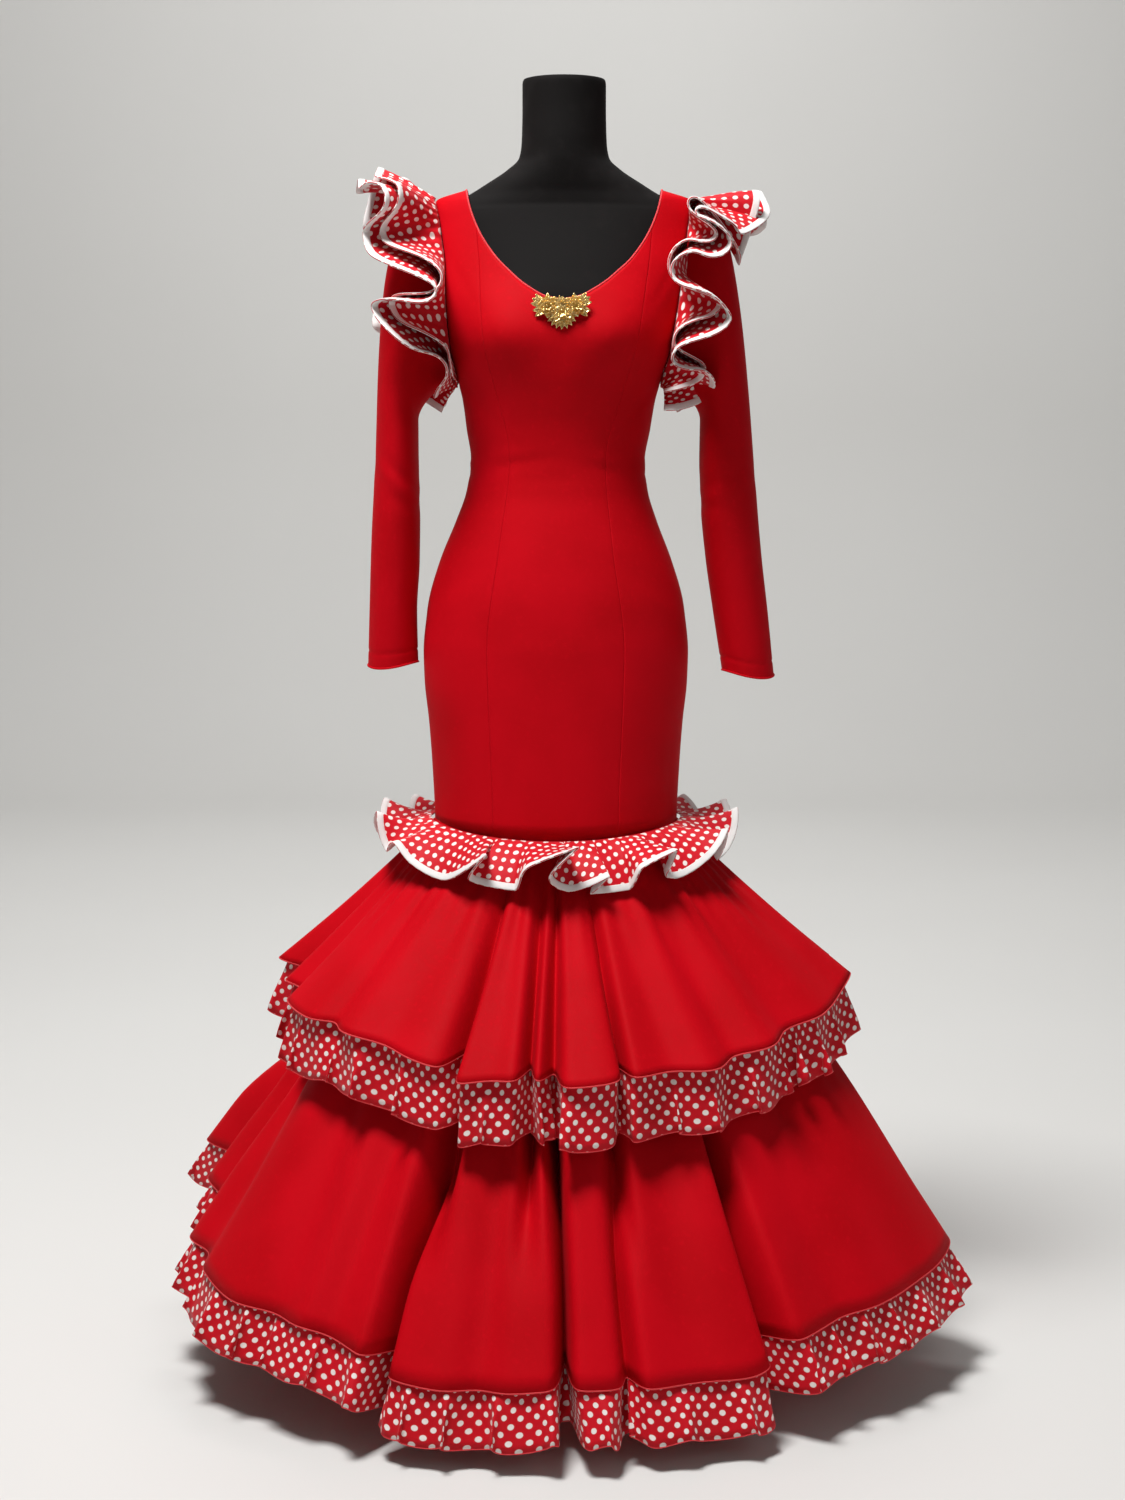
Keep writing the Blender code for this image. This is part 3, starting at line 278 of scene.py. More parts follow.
class Board:
    """The node tree of one material."""

    def __init__(self, name: str) -> None:
        """Start a material with an empty Principled shader.

        Args:
            name: name of the material.
        """
        self.material = bpy.data.materials.new(name)
        self.material.use_nodes = True
        self.tree = self.material.node_tree
        self.shader = self.tree.nodes["Principled BSDF"]

    def node(self, kind: str, settings: dict[str, Any], values: dict[Any, Any]) -> bpy.types.Node:
        """Add a node, set its options first and then its sockets.

        Args:
            kind: node type.
            settings: attributes of the node, such as its operation.
            values: numbers, tuples or Tints by socket name or index.

        Returns:
            The new node.
        """
        made = self.tree.nodes.new(kind)
        for key, value in settings.items():
            setattr(made, key, value)
        for key, value in values.items():
            self.plug(made.inputs[key], value)
        return made

    def plug(self, socket: bpy.types.NodeSocket, value: Any) -> None:
        """Link a Tint to an input socket, or set it to a number or tuple."""
        if isinstance(value, Tint):
            self.tree.links.new(value.socket, socket)
        else:
            socket.default_value = value

    def out(self, node: bpy.types.Node, name: Any = 0) -> Tint:
        """One output of a node as a Tint."""
        return Tint(self, node.outputs[name])

    def place(self) -> Tint:
        """Object coordinates."""
        return self.out(self.node("ShaderNodeTexCoord", {}, {}), "Object")

    def cloth(self) -> tuple[Tint, Tint]:
        """The two coordinates of the cut cloth in metres, along the edge and across it."""
        uv = self.out(self.node("ShaderNodeUVMap", {"uv_map": "cut"}, {}))
        parts = self.node("ShaderNodeSeparateXYZ", {}, {0: uv})
        return self.out(parts, 0), self.out(parts, 1)

    def noise(self, scale: float, detail: float = 3.0, stretch: Sequence[float] = (1.0, 1.0, 1.0)) -> Tint:
        """Soft noise between 0 and 1 on Object coordinates.

        Args:
            scale: cells per metre.
            detail: octaves.
            stretch: how much finer the cells are along each axis.

        Returns:
            The noise value.
        """
        inputs = {"Vector": self.place(), "Scale": tuple(stretch)}
        mapped = self.out(self.node("ShaderNodeMapping", {}, inputs))
        made = self.node("ShaderNodeTexNoise", {}, {"Vector": mapped, "Scale": scale, "Detail": detail})
        return self.out(made, 0)

    def mix(self, factor: Any, low: Sequence[float], high: Any) -> Tint:
        """Colour between two others.

        Args:
            factor: 0 for low, 1 for high, a number or a Tint.
            low: colour of three numbers, or a Tint.
            high: the same.

        Returns:
            The mixed colour.
        """
        made = self.tree.nodes.new("ShaderNodeMix")
        made.data_type = "RGBA"
        self.plug(made.inputs["Factor"], factor)
        colours = [socket for socket in made.inputs if socket.type == "RGBA"]
        for socket, value in zip(colours, (low, high)):
            self.plug(socket, value if isinstance(value, Tint) else (*value, 1.0))
        return Tint(self, next(socket for socket in made.outputs if socket.type == "RGBA"))

    def paint(self, **values: Any) -> None:
        """Set sockets of the shader; underscores in names stand for spaces."""
        for key, value in values.items():
            wide = isinstance(value, tuple) and len(value) == 3
            self.plug(self.shader.inputs[key.replace("_", " ")], (*value, 1.0) if wide else value)

    def relief(self, height: Tint, depth: float) -> None:
        """Bump the surface by a height of 0 to 1 times a depth in metres."""
        bump = self.node("ShaderNodeBump", {}, {"Height": height, "Distance": depth, "Strength": 1.0})
        self.plug(self.shader.inputs["Normal"], self.out(bump))


@dataclass(frozen=True)
class Crepe:
    """Matt crepe with a fine pebbled weave and a faint change of depth of colour."""

    name: str = "crepe_red"
    colour: tuple[float, float, float] = (0.56, 0.0005, 0.0068)
    deep: tuple[float, float, float] = (0.49, 0.0003, 0.0048)
    worn: tuple[float, float, float] = (0.60, 0.0012, 0.0090)
    pebble: float = 1500.0
    relief: float = 0.00010

    def make(self) -> bpy.types.Material:
        """Mix two reds by a broad noise, a third by a finer one, and bump by pebbles and warp ribs."""
        board = Board(self.name)
        broad = board.noise(7.0, 2.0)
        fine = board.noise(160.0, 3.0)
        pebbles = board.noise(self.pebble, 2.0, (1.0, 1.0, 0.55))
        base = board.mix(broad.step(0.38, 0.66), self.deep, self.colour)
        board.paint(
            Base_Color=board.mix(fine.step(0.52, 0.80) * 0.5, base, self.worn),
            Roughness=0.60 + fine * 0.16,
            Specular_IOR_Level=0.07,
            Sheen_Weight=0.06,
            Sheen_Roughness=0.45,
            Sheen_Tint=(1.0, 0.06, 0.08),
        )
        board.relief(pebbles * 0.7 + fine * 0.3, self.relief)
        return board.material


@dataclass(frozen=True)
class PolkaCrepe:
    """Red crepe printed with staggered white dots, on the coordinates of the cut cloth."""

    name: str = "polka_red"
    colour: tuple[float, float, float] = (0.60, 0.0008, 0.0110)
    deep: tuple[float, float, float] = (0.53, 0.0006, 0.0085)
    dot: tuple[float, float, float] = (0.86, 0.79, 0.75)
    pitch: float = 0.0168
    radius: float = 0.0030
    edge: float = 0.0004
    relief: float = 0.00009

    def spot(self, board: Board, u: Tint, v: Tint, shift: float) -> Tint:
        """Distance in metres to the nearest centre of a square grid of dots that is shifted both ways."""
        across = (u / self.pitch + shift).fraction() - 0.5
        down = (v / self.pitch + shift).fraction() - 0.5
        return across.length_with(down) * self.pitch

    def make(self) -> bpy.types.Material:
        """Two grids of round dots, one shifted by half a pitch, over a red that varies a little."""
        board = Board(self.name)
        u, v = board.cloth()
        nearest = self.spot(board, u, v, 0.0).smaller(self.spot(board, u, v, 0.5))
        ragged = nearest + (board.noise(900.0, 2.0) - 0.5) * 0.0005
        dots = ragged.step(self.radius + self.edge, self.radius - self.edge)
        broad = board.noise(9.0, 2.0)
        weave = board.noise(1500.0, 2.0, (1.0, 1.0, 0.55))
        base = board.mix(broad.step(0.36, 0.66), self.deep, self.colour)
        board.paint(
            Base_Color=board.mix(dots, base, self.dot),
            Roughness=0.62 - dots * 0.06,
            Specular_IOR_Level=0.22,
            Sheen_Weight=0.08,
            Sheen_Roughness=0.45,
        )
        board.relief(weave * 0.8 + dots * 0.35, self.relief)
        return board.material


@dataclass(frozen=True)
class BiasBinding:
    """White cotton bias binding with a diagonal twill and a row of stitches near its inner edge."""

    name: str = "binding_white"
    colour: tuple[float, float, float] = (0.84, 0.82, 0.80)
    # darker colour for the slight soiling and for the painted shade in the stitch groove
    shade: tuple[float, float, float] = (0.72, 0.69, 0.68)
    twill: float = 0.0007
    stitch: float = 0.0028
    seam: float = 0.0071
    relief: float = 0.00012

    def make(self) -> bpy.types.Material:
        """Sine ribs along u + v, dashes along u at a distance from the outer edge, slight soiling, and
        painted shade darkening the stitch groove.
        """
        board = Board(self.name)
        u, v = board.cloth()
        ribs = ((u + v) * (2 * math.pi / self.twill)).wave() * 0.5 + 0.5
        dash = (u / self.stitch).fraction()
        along = dash.step(0.12, 0.20) * dash.step(0.88, 0.80)
        away = v - self.seam
        off = away.math("ABSOLUTE", away)
        thread = along * off.step(0.00045, 0.00030)
        groove = off.step(0.0011, 0.0004)
        soil = board.noise(60.0, 3.0).step(0.45, 0.75)
        # darkened by random soiling and by painted shade in the stitch groove
        base = board.mix(soil * 0.35 + groove * 0.25, self.colour, self.shade)
        rough = 0.66 + soil * 0.08
        board.paint(Base_Color=base, Roughness=rough, Specular_IOR_Level=0.25, Sheen_Weight=0.12)
        board.relief(ribs * 0.25 - groove * 1.2 + thread * 1.5, self.relief)
        return board.material


@dataclass(frozen=True)
class RolledEdge:
    """Rolled hem overcast with thread a little lighter than the cloth; its lighter red is partly the
    thread's own colour and partly a painted highlight along the roll.
    """

    name: str = "rolled_edge"
    colour: tuple[float, float, float] = (0.66, 0.010, 0.022)
    # lighter red of the crests: partly thread colour, partly painted highlight
    thread: tuple[float, float, float] = (0.80, 0.085, 0.090)
    pitch: float = 0.0011
    relief: float = 0.00015

    def make(self) -> bpy.types.Material:
        """Slanting threads as a sine of u plus a share of v, lighter on their crests: partly thread colour,
        partly a painted highlight on the crests.
        """
        board = Board(self.name)
        u, v = board.cloth()
        turns = ((u + v * 0.4) * (2 * math.pi / self.pitch)).wave() * 0.5 + 0.5
        uneven = board.noise(220.0, 2.0)
        board.paint(
            # lighter towards the crests of the turns: partly thread colour, partly painted highlight
            Base_Color=board.mix(turns * 0.7 + uneven * 0.3, self.colour, self.thread),
            Roughness=0.5 + uneven * 0.15,
            Specular_IOR_Level=0.3,
        )
        board.relief(turns, self.relief)
        return board.material


@dataclass(frozen=True)
class Jersey:
    """Matt black jersey over the form, with fine knitted ribs."""

    name: str = "form_black"
    colour: tuple[float, float, float] = (0.0040, 0.0030, 0.0028)
    dust: tuple[float, float, float] = (0.0085, 0.0070, 0.0068)
    relief: float = 0.00012

    def make(self) -> bpy.types.Material:
        """Stretched noise for the knit and a broad one for lint."""
        board = Board(self.name)
        knit = board.noise(1400.0, 2.0, (1.0, 1.0, 0.35))
        lint = board.noise(45.0, 4.0).step(0.48, 0.78)
        board.paint(
            Base_Color=board.mix(lint, self.colour, self.dust),
            Roughness=0.80 + lint * 0.1,
            Specular_IOR_Level=0.16,
            Sheen_Weight=0.01,
        )
        board.relief(knit, self.relief)
        return board.material


@dataclass(frozen=True)
class Metal:
    """Metal or painted metal with worn, uneven gloss."""

    name: str
    colour: tuple[float, float, float]
    worn: tuple[float, float, float]
    metallic: float
    roughness: float
    grain: float = 350.0
    relief: float = 0.00004

    def make(self) -> bpy.types.Material:
        """Colour and roughness both follow one noise, so rubbed places are lighter and glossier."""
        board = Board(self.name)
        rubbed = board.noise(self.grain, 3.0)
        patch = rubbed.step(0.50, 0.74)
        board.paint(
            Base_Color=board.mix(patch, self.colour, self.worn),
            Metallic=self.metallic,
            Roughness=self.roughness + rubbed * 0.14 - patch * 0.06,
        )
        board.relief(rubbed, self.relief)
        return board.material


@dataclass(frozen=True)
class PaperFloor:
    """Plain pale floor and backdrop."""

    name: str = "studio_floor"
    colour: tuple[float, float, float] = (0.74, 0.735, 0.715)
    shade: tuple[float, float, float] = (0.69, 0.68, 0.66)

    def make(self) -> bpy.types.Material:
        """A very faint cloudiness over one pale grey."""
        board = Board(self.name)
        cloud = board.noise(0.7, 2.0)
        grey = board.mix(cloud, self.shade, self.colour)
        board.paint(Base_Color=grey, Roughness=0.85, Specular_IOR_Level=0.1)
        return board.material


class Finishes:
    """Every finish of the dress, its form and its stand, made once."""

    def __init__(self) -> None:
        """Make the materials."""
        self.crepe = Crepe().make()
        self.polka = PolkaCrepe().make()
        self.binding = BiasBinding().make()
        self.rolled = RolledEdge().make()
        self.jersey = Jersey().make()
        black, scuffed = (0.022, 0.022, 0.024), (0.06, 0.06, 0.062)
        self.stand = Metal("stand_black", black, scuffed, metallic=0.35, roughness=0.36, grain=90.0).make()
        gold, bright = (0.92, 0.66, 0.24), (1.0, 0.88, 0.52)
        self.gilt = Metal("brooch_gold", gold, bright, metallic=0.80, roughness=0.16, grain=500.0).make()
        enamel, rubbed = (0.40, 0.012, 0.02), (0.58, 0.05, 0.06)
        painted = Metal("zip_metal", enamel, rubbed, metallic=0.45, roughness=0.34, grain=900.0)
        self.zip_metal = painted.make()
        self.zip_cloth = Crepe("zip_tape", colour=(0.46, 0.004, 0.012), deep=(0.40, 0.002, 0.009)).make()
        self.floor = PaperFloor().make()


# ---------------------------------------------------------------- meshes
@dataclass
class Weave:
    """A grid of points with its cut-cloth coordinates, ready to be made into a mesh."""

    points: Array
    cut: Array
    closed: bool = False

    def mesh(self, name: str, flip: bool = False) -> bpy.types.Mesh:
        """Quads between neighbouring grid points; a closed grid joins its last column to its first.

        Args:
            name: name of the mesh.
            flip: True where across times down points into the body.

        Returns:
            The mesh, smooth shaded, with its UV map "cut" in metres.
        """
        rows, cols = self.points.shape[:2]
        spans = cols if self.closed else cols - 1
        r, c = np.meshgrid(np.arange(rows - 1), np.arange(spans), indexing="ij")
        d = np.mod(c + 1, cols)
        corners = [(r, c, c), (r, d, c + 1), (r + 1, d, c + 1), (r + 1, c, c)]
        if flip:
            corners.reverse()
        quads = np.stack([row * cols + at for row, at, _ in corners], axis=-1).reshape(-1, 4)
        uv = np.stack([self.cut[row, at] for row, _, at in corners], axis=2).reshape(-1, 2)
        mesh = bpy.data.meshes.new(name)
        mesh.from_pydata(self.points.reshape(-1, 3), [], quads)
        mesh.uv_layers.new(name="cut").data.foreach_set("uv", uv.astype(np.float32).ravel())
        mesh.shade_smooth()
        mesh.update()
        return mesh


def straight_cut(points: Array, closed: bool) -> Array:
    """Cut coordinates of cloth on the straight grain: run along each row, and the mean run down the columns.

    Args:
        points: grid of rows, columns and coordinates.
        closed: True where the columns run all the way round.

    Returns:
        Pairs of coordinates in metres, with one more column on a closed grid.
    """
    full = np.concatenate([points, points[:, :1]], axis=1) if closed else points
    along = run_length(full).mean(axis=0)
    down = down_run(full).mean(axis=0)
    u, v = np.meshgrid(along, down)
    return np.stack([u, v], axis=-1)


def ring_cut(points: Array, closed: bool) -> Array:
    """Cut coordinates of a frill cut as a ring, so that its edge is longer than its seam.

    The radius of the ring is the frill's depth times the seam's length over the extra length of the edge.  A
    point lies at that radius plus its distance from the seam, at the angle that the run along the edge has.

    Args:
        points: grid from the seam in row 0 to the free edge in the last row.
        closed: True where the columns run all the way round.

    Returns:
        Pairs of coordinates in metres, with one more column on a closed grid.
    """
    full = np.concatenate([points, points[:, :1]], axis=1) if closed else points
    runs = run_length(full)
    down = down_run(full).mean(axis=0)
    seam, edge = runs[0, -1], runs[-1, -1]
    radius = max(down[-1] * seam / max(edge - seam, 0.05 * edge), 0.02)
    turn = runs[-1] / (radius + down[-1])
    reach = (radius + down)[:, None]
    return np.stack([reach * np.sin(turn)[None, :], reach * np.cos(turn)[None, :]], axis=-1)


def mesh_area(obj: bpy.types.Object) -> float:
    """Area of an object's own mesh before its modifiers."""
    areas = np.zeros(len(obj.data.polygons))
    obj.data.polygons.foreach_get("area", areas)
    return float(areas.sum())


def fit_out(
    name: str,
    mesh: bpy.types.Mesh,
    material: bpy.types.Material,
    nodes: Sequence[str],
    thickness: float = 0.0,
    offset: float = 0.0,
    body: str = BODY,
) -> bpy.types.Object:
    """Finish a mesh as a piece: its material, wall, body and the CAD nodes that it stands for.

    Args:
        name: name of the piece.
        mesh: its mesh.
        material: its finish.
        nodes: CAD nodes that it replaces.
        thickness: wall to give it, or 0 for a mesh that is closed already.
        offset: -1 puts the wall inside the mesh, 0 on both sides.
        body: CAD body that it rides on.

    Returns:
        The new object.
    """
    mesh.materials.append(material)
    obj = bpy.data.objects.new(name, mesh)
    bpy.context.scene.collection.objects.link(obj)
    if thickness > 0.0:
        shell = obj.modifiers.new("wall", "SOLIDIFY")
        shell.thickness = thickness
        shell.offset = offset
    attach(obj, body)
    if nodes:
        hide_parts(*nodes)
    LOG.info("%s: %d faces", name, len(mesh.polygons))
    return obj


def finish_node(name: str, material: bpy.types.Material) -> None:
    """Give a CAD node that shows its finish."""
    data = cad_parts[name].data
    data.materials.clear()
    data.materials.append(material)


def declare_cloth(
    obj: bpy.types.Object,
    flat: tuple[float, float],
) -> None:
    """Work out the area of a sheet's cut from its own mesh, held between 0.31 and 1 times its width times
    its length; nothing is done with it.

    Args:
        obj: the cloth.
        flat: width and length of the cut in metres.
    """
    area = min(max(mesh_area(obj), 0.31 * flat[0] * flat[1]), flat[0] * flat[1])


def cloth_piece(
    name: str,
    weave: Weave,
    flip: bool,
    material: bpy.types.Material,
    wall: float,
    offset: float = 0.0,
) -> bpy.types.Object:
    """Make the cloth that stands for one CAD node, named after it.

    Args:
        name: the CAD node's name.
        weave: its grid.
        flip: True where across times down points into the body.
        material: its finish.
        wall: thickness of the cloth.
        offset: -1 puts the wall inside the grid, 0 on both sides.

    Returns:
        The piece.
    """
    full = "cloth_" + name
    return fit_out(full, weave.mesh(full, flip), material, (name,), wall, offset)


def bent_band(edge: Array, inward: Array, side: Array, profile: Array, closed: bool) -> Weave:
    """Carry a profile along a line: profile x runs inwards and profile y sideways from each of its points.

    Args:
        edge: points along the line.
        inward: unit vectors from the line into the cloth.
        side: unit vectors off the cloth.
        profile: closed loop of pairs, inwards and sideways.
        closed: True where the line runs all the way round.

    Returns:
        A grid with a row per profile point and a column per point of the line, its first row repeated last.
    """
    loop = np.concatenate([profile, profile[:1]])
    points = edge[None] + loop[:, 0, None, None] * inward[None] + loop[:, 1, None, None] * side[None]
    line = np.concatenate([edge, edge[:1]]) if closed else edge
    along = run_length(line)
    u, v = np.meshgrid(along, np.abs(loop[:, 0]))
    return Weave(points, np.stack([u, v], axis=-1), closed)


def stadium(width: float, thickness: float, count: int) -> Array:
    """Flat rounded loop from 0 to width: a cosine across, and the cube root of a sine for its thickness.

    Args:
        width: how far it reaches inwards.
        thickness: its full thickness.
        count: points on the loop.

    Returns:
        Pairs of inward and sideways distance.
    """
    turn = np.arange(count) * 2 * np.pi / count
    across = width / 2 * (1 - np.cos(turn))
    off = thickness / 2 * np.sign(np.sin(turn)) * np.abs(np.sin(turn)) ** (1 / 3)
    return np.stack([across, off], axis=-1)


def circle(radius: float, count: int) -> Array:
    """Round loop about the line itself."""
    turn = np.arange(count) * 2 * np.pi / count
    return radius * np.stack([np.cos(turn), np.sin(turn)], axis=-1)


def swept(name: str, weave: Weave) -> bpy.types.Mesh:
    """Mesh of a swept band, its repeated row welded and its ends capped, faces outwards.

    Args:
        name: name of the mesh.
        weave: the grid of rings.

    Returns:
        A closed mesh.
    """
    mesh = weave.mesh(name)
    work = bmesh.new()
    work.from_mesh(mesh)
    bmesh.ops.remove_doubles(work, verts=work.verts[:], dist=WELD)
    if not weave.closed:
        bmesh.ops.holes_fill(work, edges=[edge for edge in work.edges if edge.is_boundary])
    bmesh.ops.recalc_face_normals(work, faces=work.faces[:])
    work.to_mesh(mesh)
    work.free()
    mesh.shade_smooth()
    return mesh


def hem_line(points: Array, closed: bool) -> tuple[Array, Array, Array]:
    """The last row of a grid with its inward and sideways unit vectors.

    Args:
        points: grid whose last row is the free edge.
        closed: True where the columns run all the way round.

    Returns:
        Edge points, vectors into the cloth, and vectors off the cloth.
    """
    side = grid_normals(points[-3:], closed)[-1]
    inward = unit(points[-2] - points[-1])
    return points[-1], inward, side


# ---------------------------------------------------------------- the figure under the dress
@dataclass(frozen=True)
class Figure:
    """The fitted surface of the dress: sections, lean, bust and armhole, to the outside of the cloth."""

    sections: Table = (
        (0.540, 0.1500, 0.1200, 0.1260), (0.600, 0.1460, 0.1160, 0.1210), (0.652, 0.1465, 0.1140, 0.1195),
        (0.719, 0.1495, 0.1130, 0.1210), (0.768, 0.1530, 0.1120, 0.1240), (0.817, 0.1580, 0.1110, 0.1285),
        (0.853, 0.1590, 0.1100, 0.1315), (0.889, 0.1560, 0.1085, 0.1300), (0.913, 0.1525, 0.1070, 0.1265),
        (0.961, 0.1385, 0.1010, 0.1130), (1.009, 0.1195, 0.0930, 0.0975), (1.044, 0.1080, 0.0870, 0.0890),
        (1.080, 0.1035, 0.0845, 0.0865), (1.115, 0.1090, 0.0875, 0.0905), (1.151, 0.1145, 0.0945, 0.0960),
        (1.185, 0.1250, 0.1010, 0.1000), (1.220, 0.1410, 0.1040, 0.1030), (1.260, 0.1530, 0.0970, 0.1030),
        (1.300, 0.1570, 0.0820, 0.0980), (1.340, 0.1580, 0.0660, 0.0820), (1.365, 0.1570, 0.0570, 0.0680),
        (1.383, 0.1505, 0.0520, 0.0560), (1.3955, 0.1155, 0.0480, 0.0480),
    )
    lean_rows: Table = (
        (0.50, 0), (0.95, 0), (1.08, 0.0025), (1.18, 0.0045), (1.25, 0.007), (1.32, 0.010), (1.60, 0.010),
    )
    armhole_rows: Table = (
        (1.165, 90, 90), (1.172, 83, 97), (1.185, 78.5, 102), (1.198, 75, 106), (1.220, 67, 112),
        (1.260, 62, 117), (1.300, 61.5, 118), (1.340, 64.8, 115), (1.365, 69.4, 110), (1.376, 76, 103),
        (1.383, 90, 90),
    )
    bust_half_span: float = 0.070
    bust_z: float = 1.222
    bust_rise: float = 0.013
    bust_radius: float = 0.044
    bust_fade: float = 2.5
    seam_side_z: float = 0.652
    seam_dip: float = 0.014
    dip_power: float = 1.5
    underarm_z: float = 1.165
    shoulder_z: float = 1.383

    def lean(self, z: Any) -> Array:
        """Sideways set of the centre line at a height."""
        return read(z, self.lean_rows)

    def half_width(self, z: Any) -> Array:
        """Half width of the dress at a height."""
        return read(z, self.sections)

    def point(self, angle: Any, z: Any, inset: Any = 0.0) -> Array:
        """Point of the dress: an oval with its own depth in front and behind, and two soft bust mounds.

        Args:
            angle: degrees from the centre front, growing to the right.
            z: height.
            inset: how far inside the outer surface.

        Returns:
            Points with the coordinates on the last axis.
        """
        turn = np.radians(angle)
        z = np.asarray(z, float)
        front = read(z, self.sections, 2)
        back = read(z, self.sections, 3)
        depth = np.where(np.cos(turn) > 0, front, back) - inset
        out = (self.half_width(z) - inset) * np.sin(turn)
        away = (np.abs(out) - self.bust_half_span) ** 2 + (z - self.bust_z) ** 2
        forward = np.clip(np.cos(turn) * self.bust_fade, 0.0, 1.0)
        mound = self.bust_rise * np.exp(-away / self.bust_radius**2) * forward
        return np.stack([self.lean(z) + out, -depth * np.cos(turn) - mound, z + 0 * out], axis=-1)

    def seam_z(self, angle: Any) -> Array:
        """Height of the thigh seam, which dips towards the centre front."""
        forward = np.clip(np.cos(np.radians(angle)), 0.0, 1.0)
        return self.seam_side_z - self.seam_dip * forward**self.dip_power

    def edge_angle(self, out: Any, z: Any) -> Array:
        """Angle of the surface point at a distance out from the centre line."""
        return np.degrees(np.arcsin(np.clip(out / self.half_width(z), -1.0, 1.0)))

    def armhole(self, place: Any, side: float) -> Array:
        """Point of the armhole edge.

        Args:
            place: 0 at the underarm, 0.25 in front, 0.5 at the shoulder and 0.75 behind.
            side: sign of x.

        Returns:
            Points with the coordinates on the last axis.
        """
        place = np.asarray(place, float)
        middle = (self.underarm_z + self.shoulder_z) / 2
        z = middle - (self.shoulder_z - self.underarm_z) / 2 * np.cos(2 * np.pi * place)
        front = read(z, self.armhole_rows, 1)
        back = read(z, self.armhole_rows, 2)
        return self.point(side * np.where(place % 1.0 <= 0.5, front, back), z)

    def radius(self, angle: Any, z: Any, clear: float) -> Array:
        """Radius of the dress at an angle and height, moved out by a clearance."""
        point = self.point(angle, z, -clear)
        return np.hypot(point[..., 0], point[..., 1])


@dataclass(frozen=True)
class Creases:
    """Soft troughs and ridges, each a stretched bell at an angle and height on the dress."""

    # angle, height, tilt in degrees, half length, half width, depth in millimetres (negative for a trough)
    rows: Table

    def rise(self, angle: Any, z: Any, girth: float) -> Array:
        """Sum of bells: each one's length and width are measured along and across its own tilt.

        Args:
            angle: degrees from the centre front.
            z: height.
            girth: metres per radian round the piece.

        Returns:
            How far the cloth stands out, in metres.
        """
        total = np.zeros(np.broadcast(angle, z).shape)
        for place, height, tilt, length, width, depth in self.rows:
            u = np.radians(np.mod(angle - place + 180.0, 360.0) - 180.0) * girth
            v = z - height
            along = u * math.cos(math.radians(tilt)) + v * math.sin(math.radians(tilt))
            across = v * math.cos(math.radians(tilt)) - u * math.sin(math.radians(tilt))
            total = total + depth * 0.001 * np.exp(-((along / length) ** 2) - (across / width) ** 2)
        return total


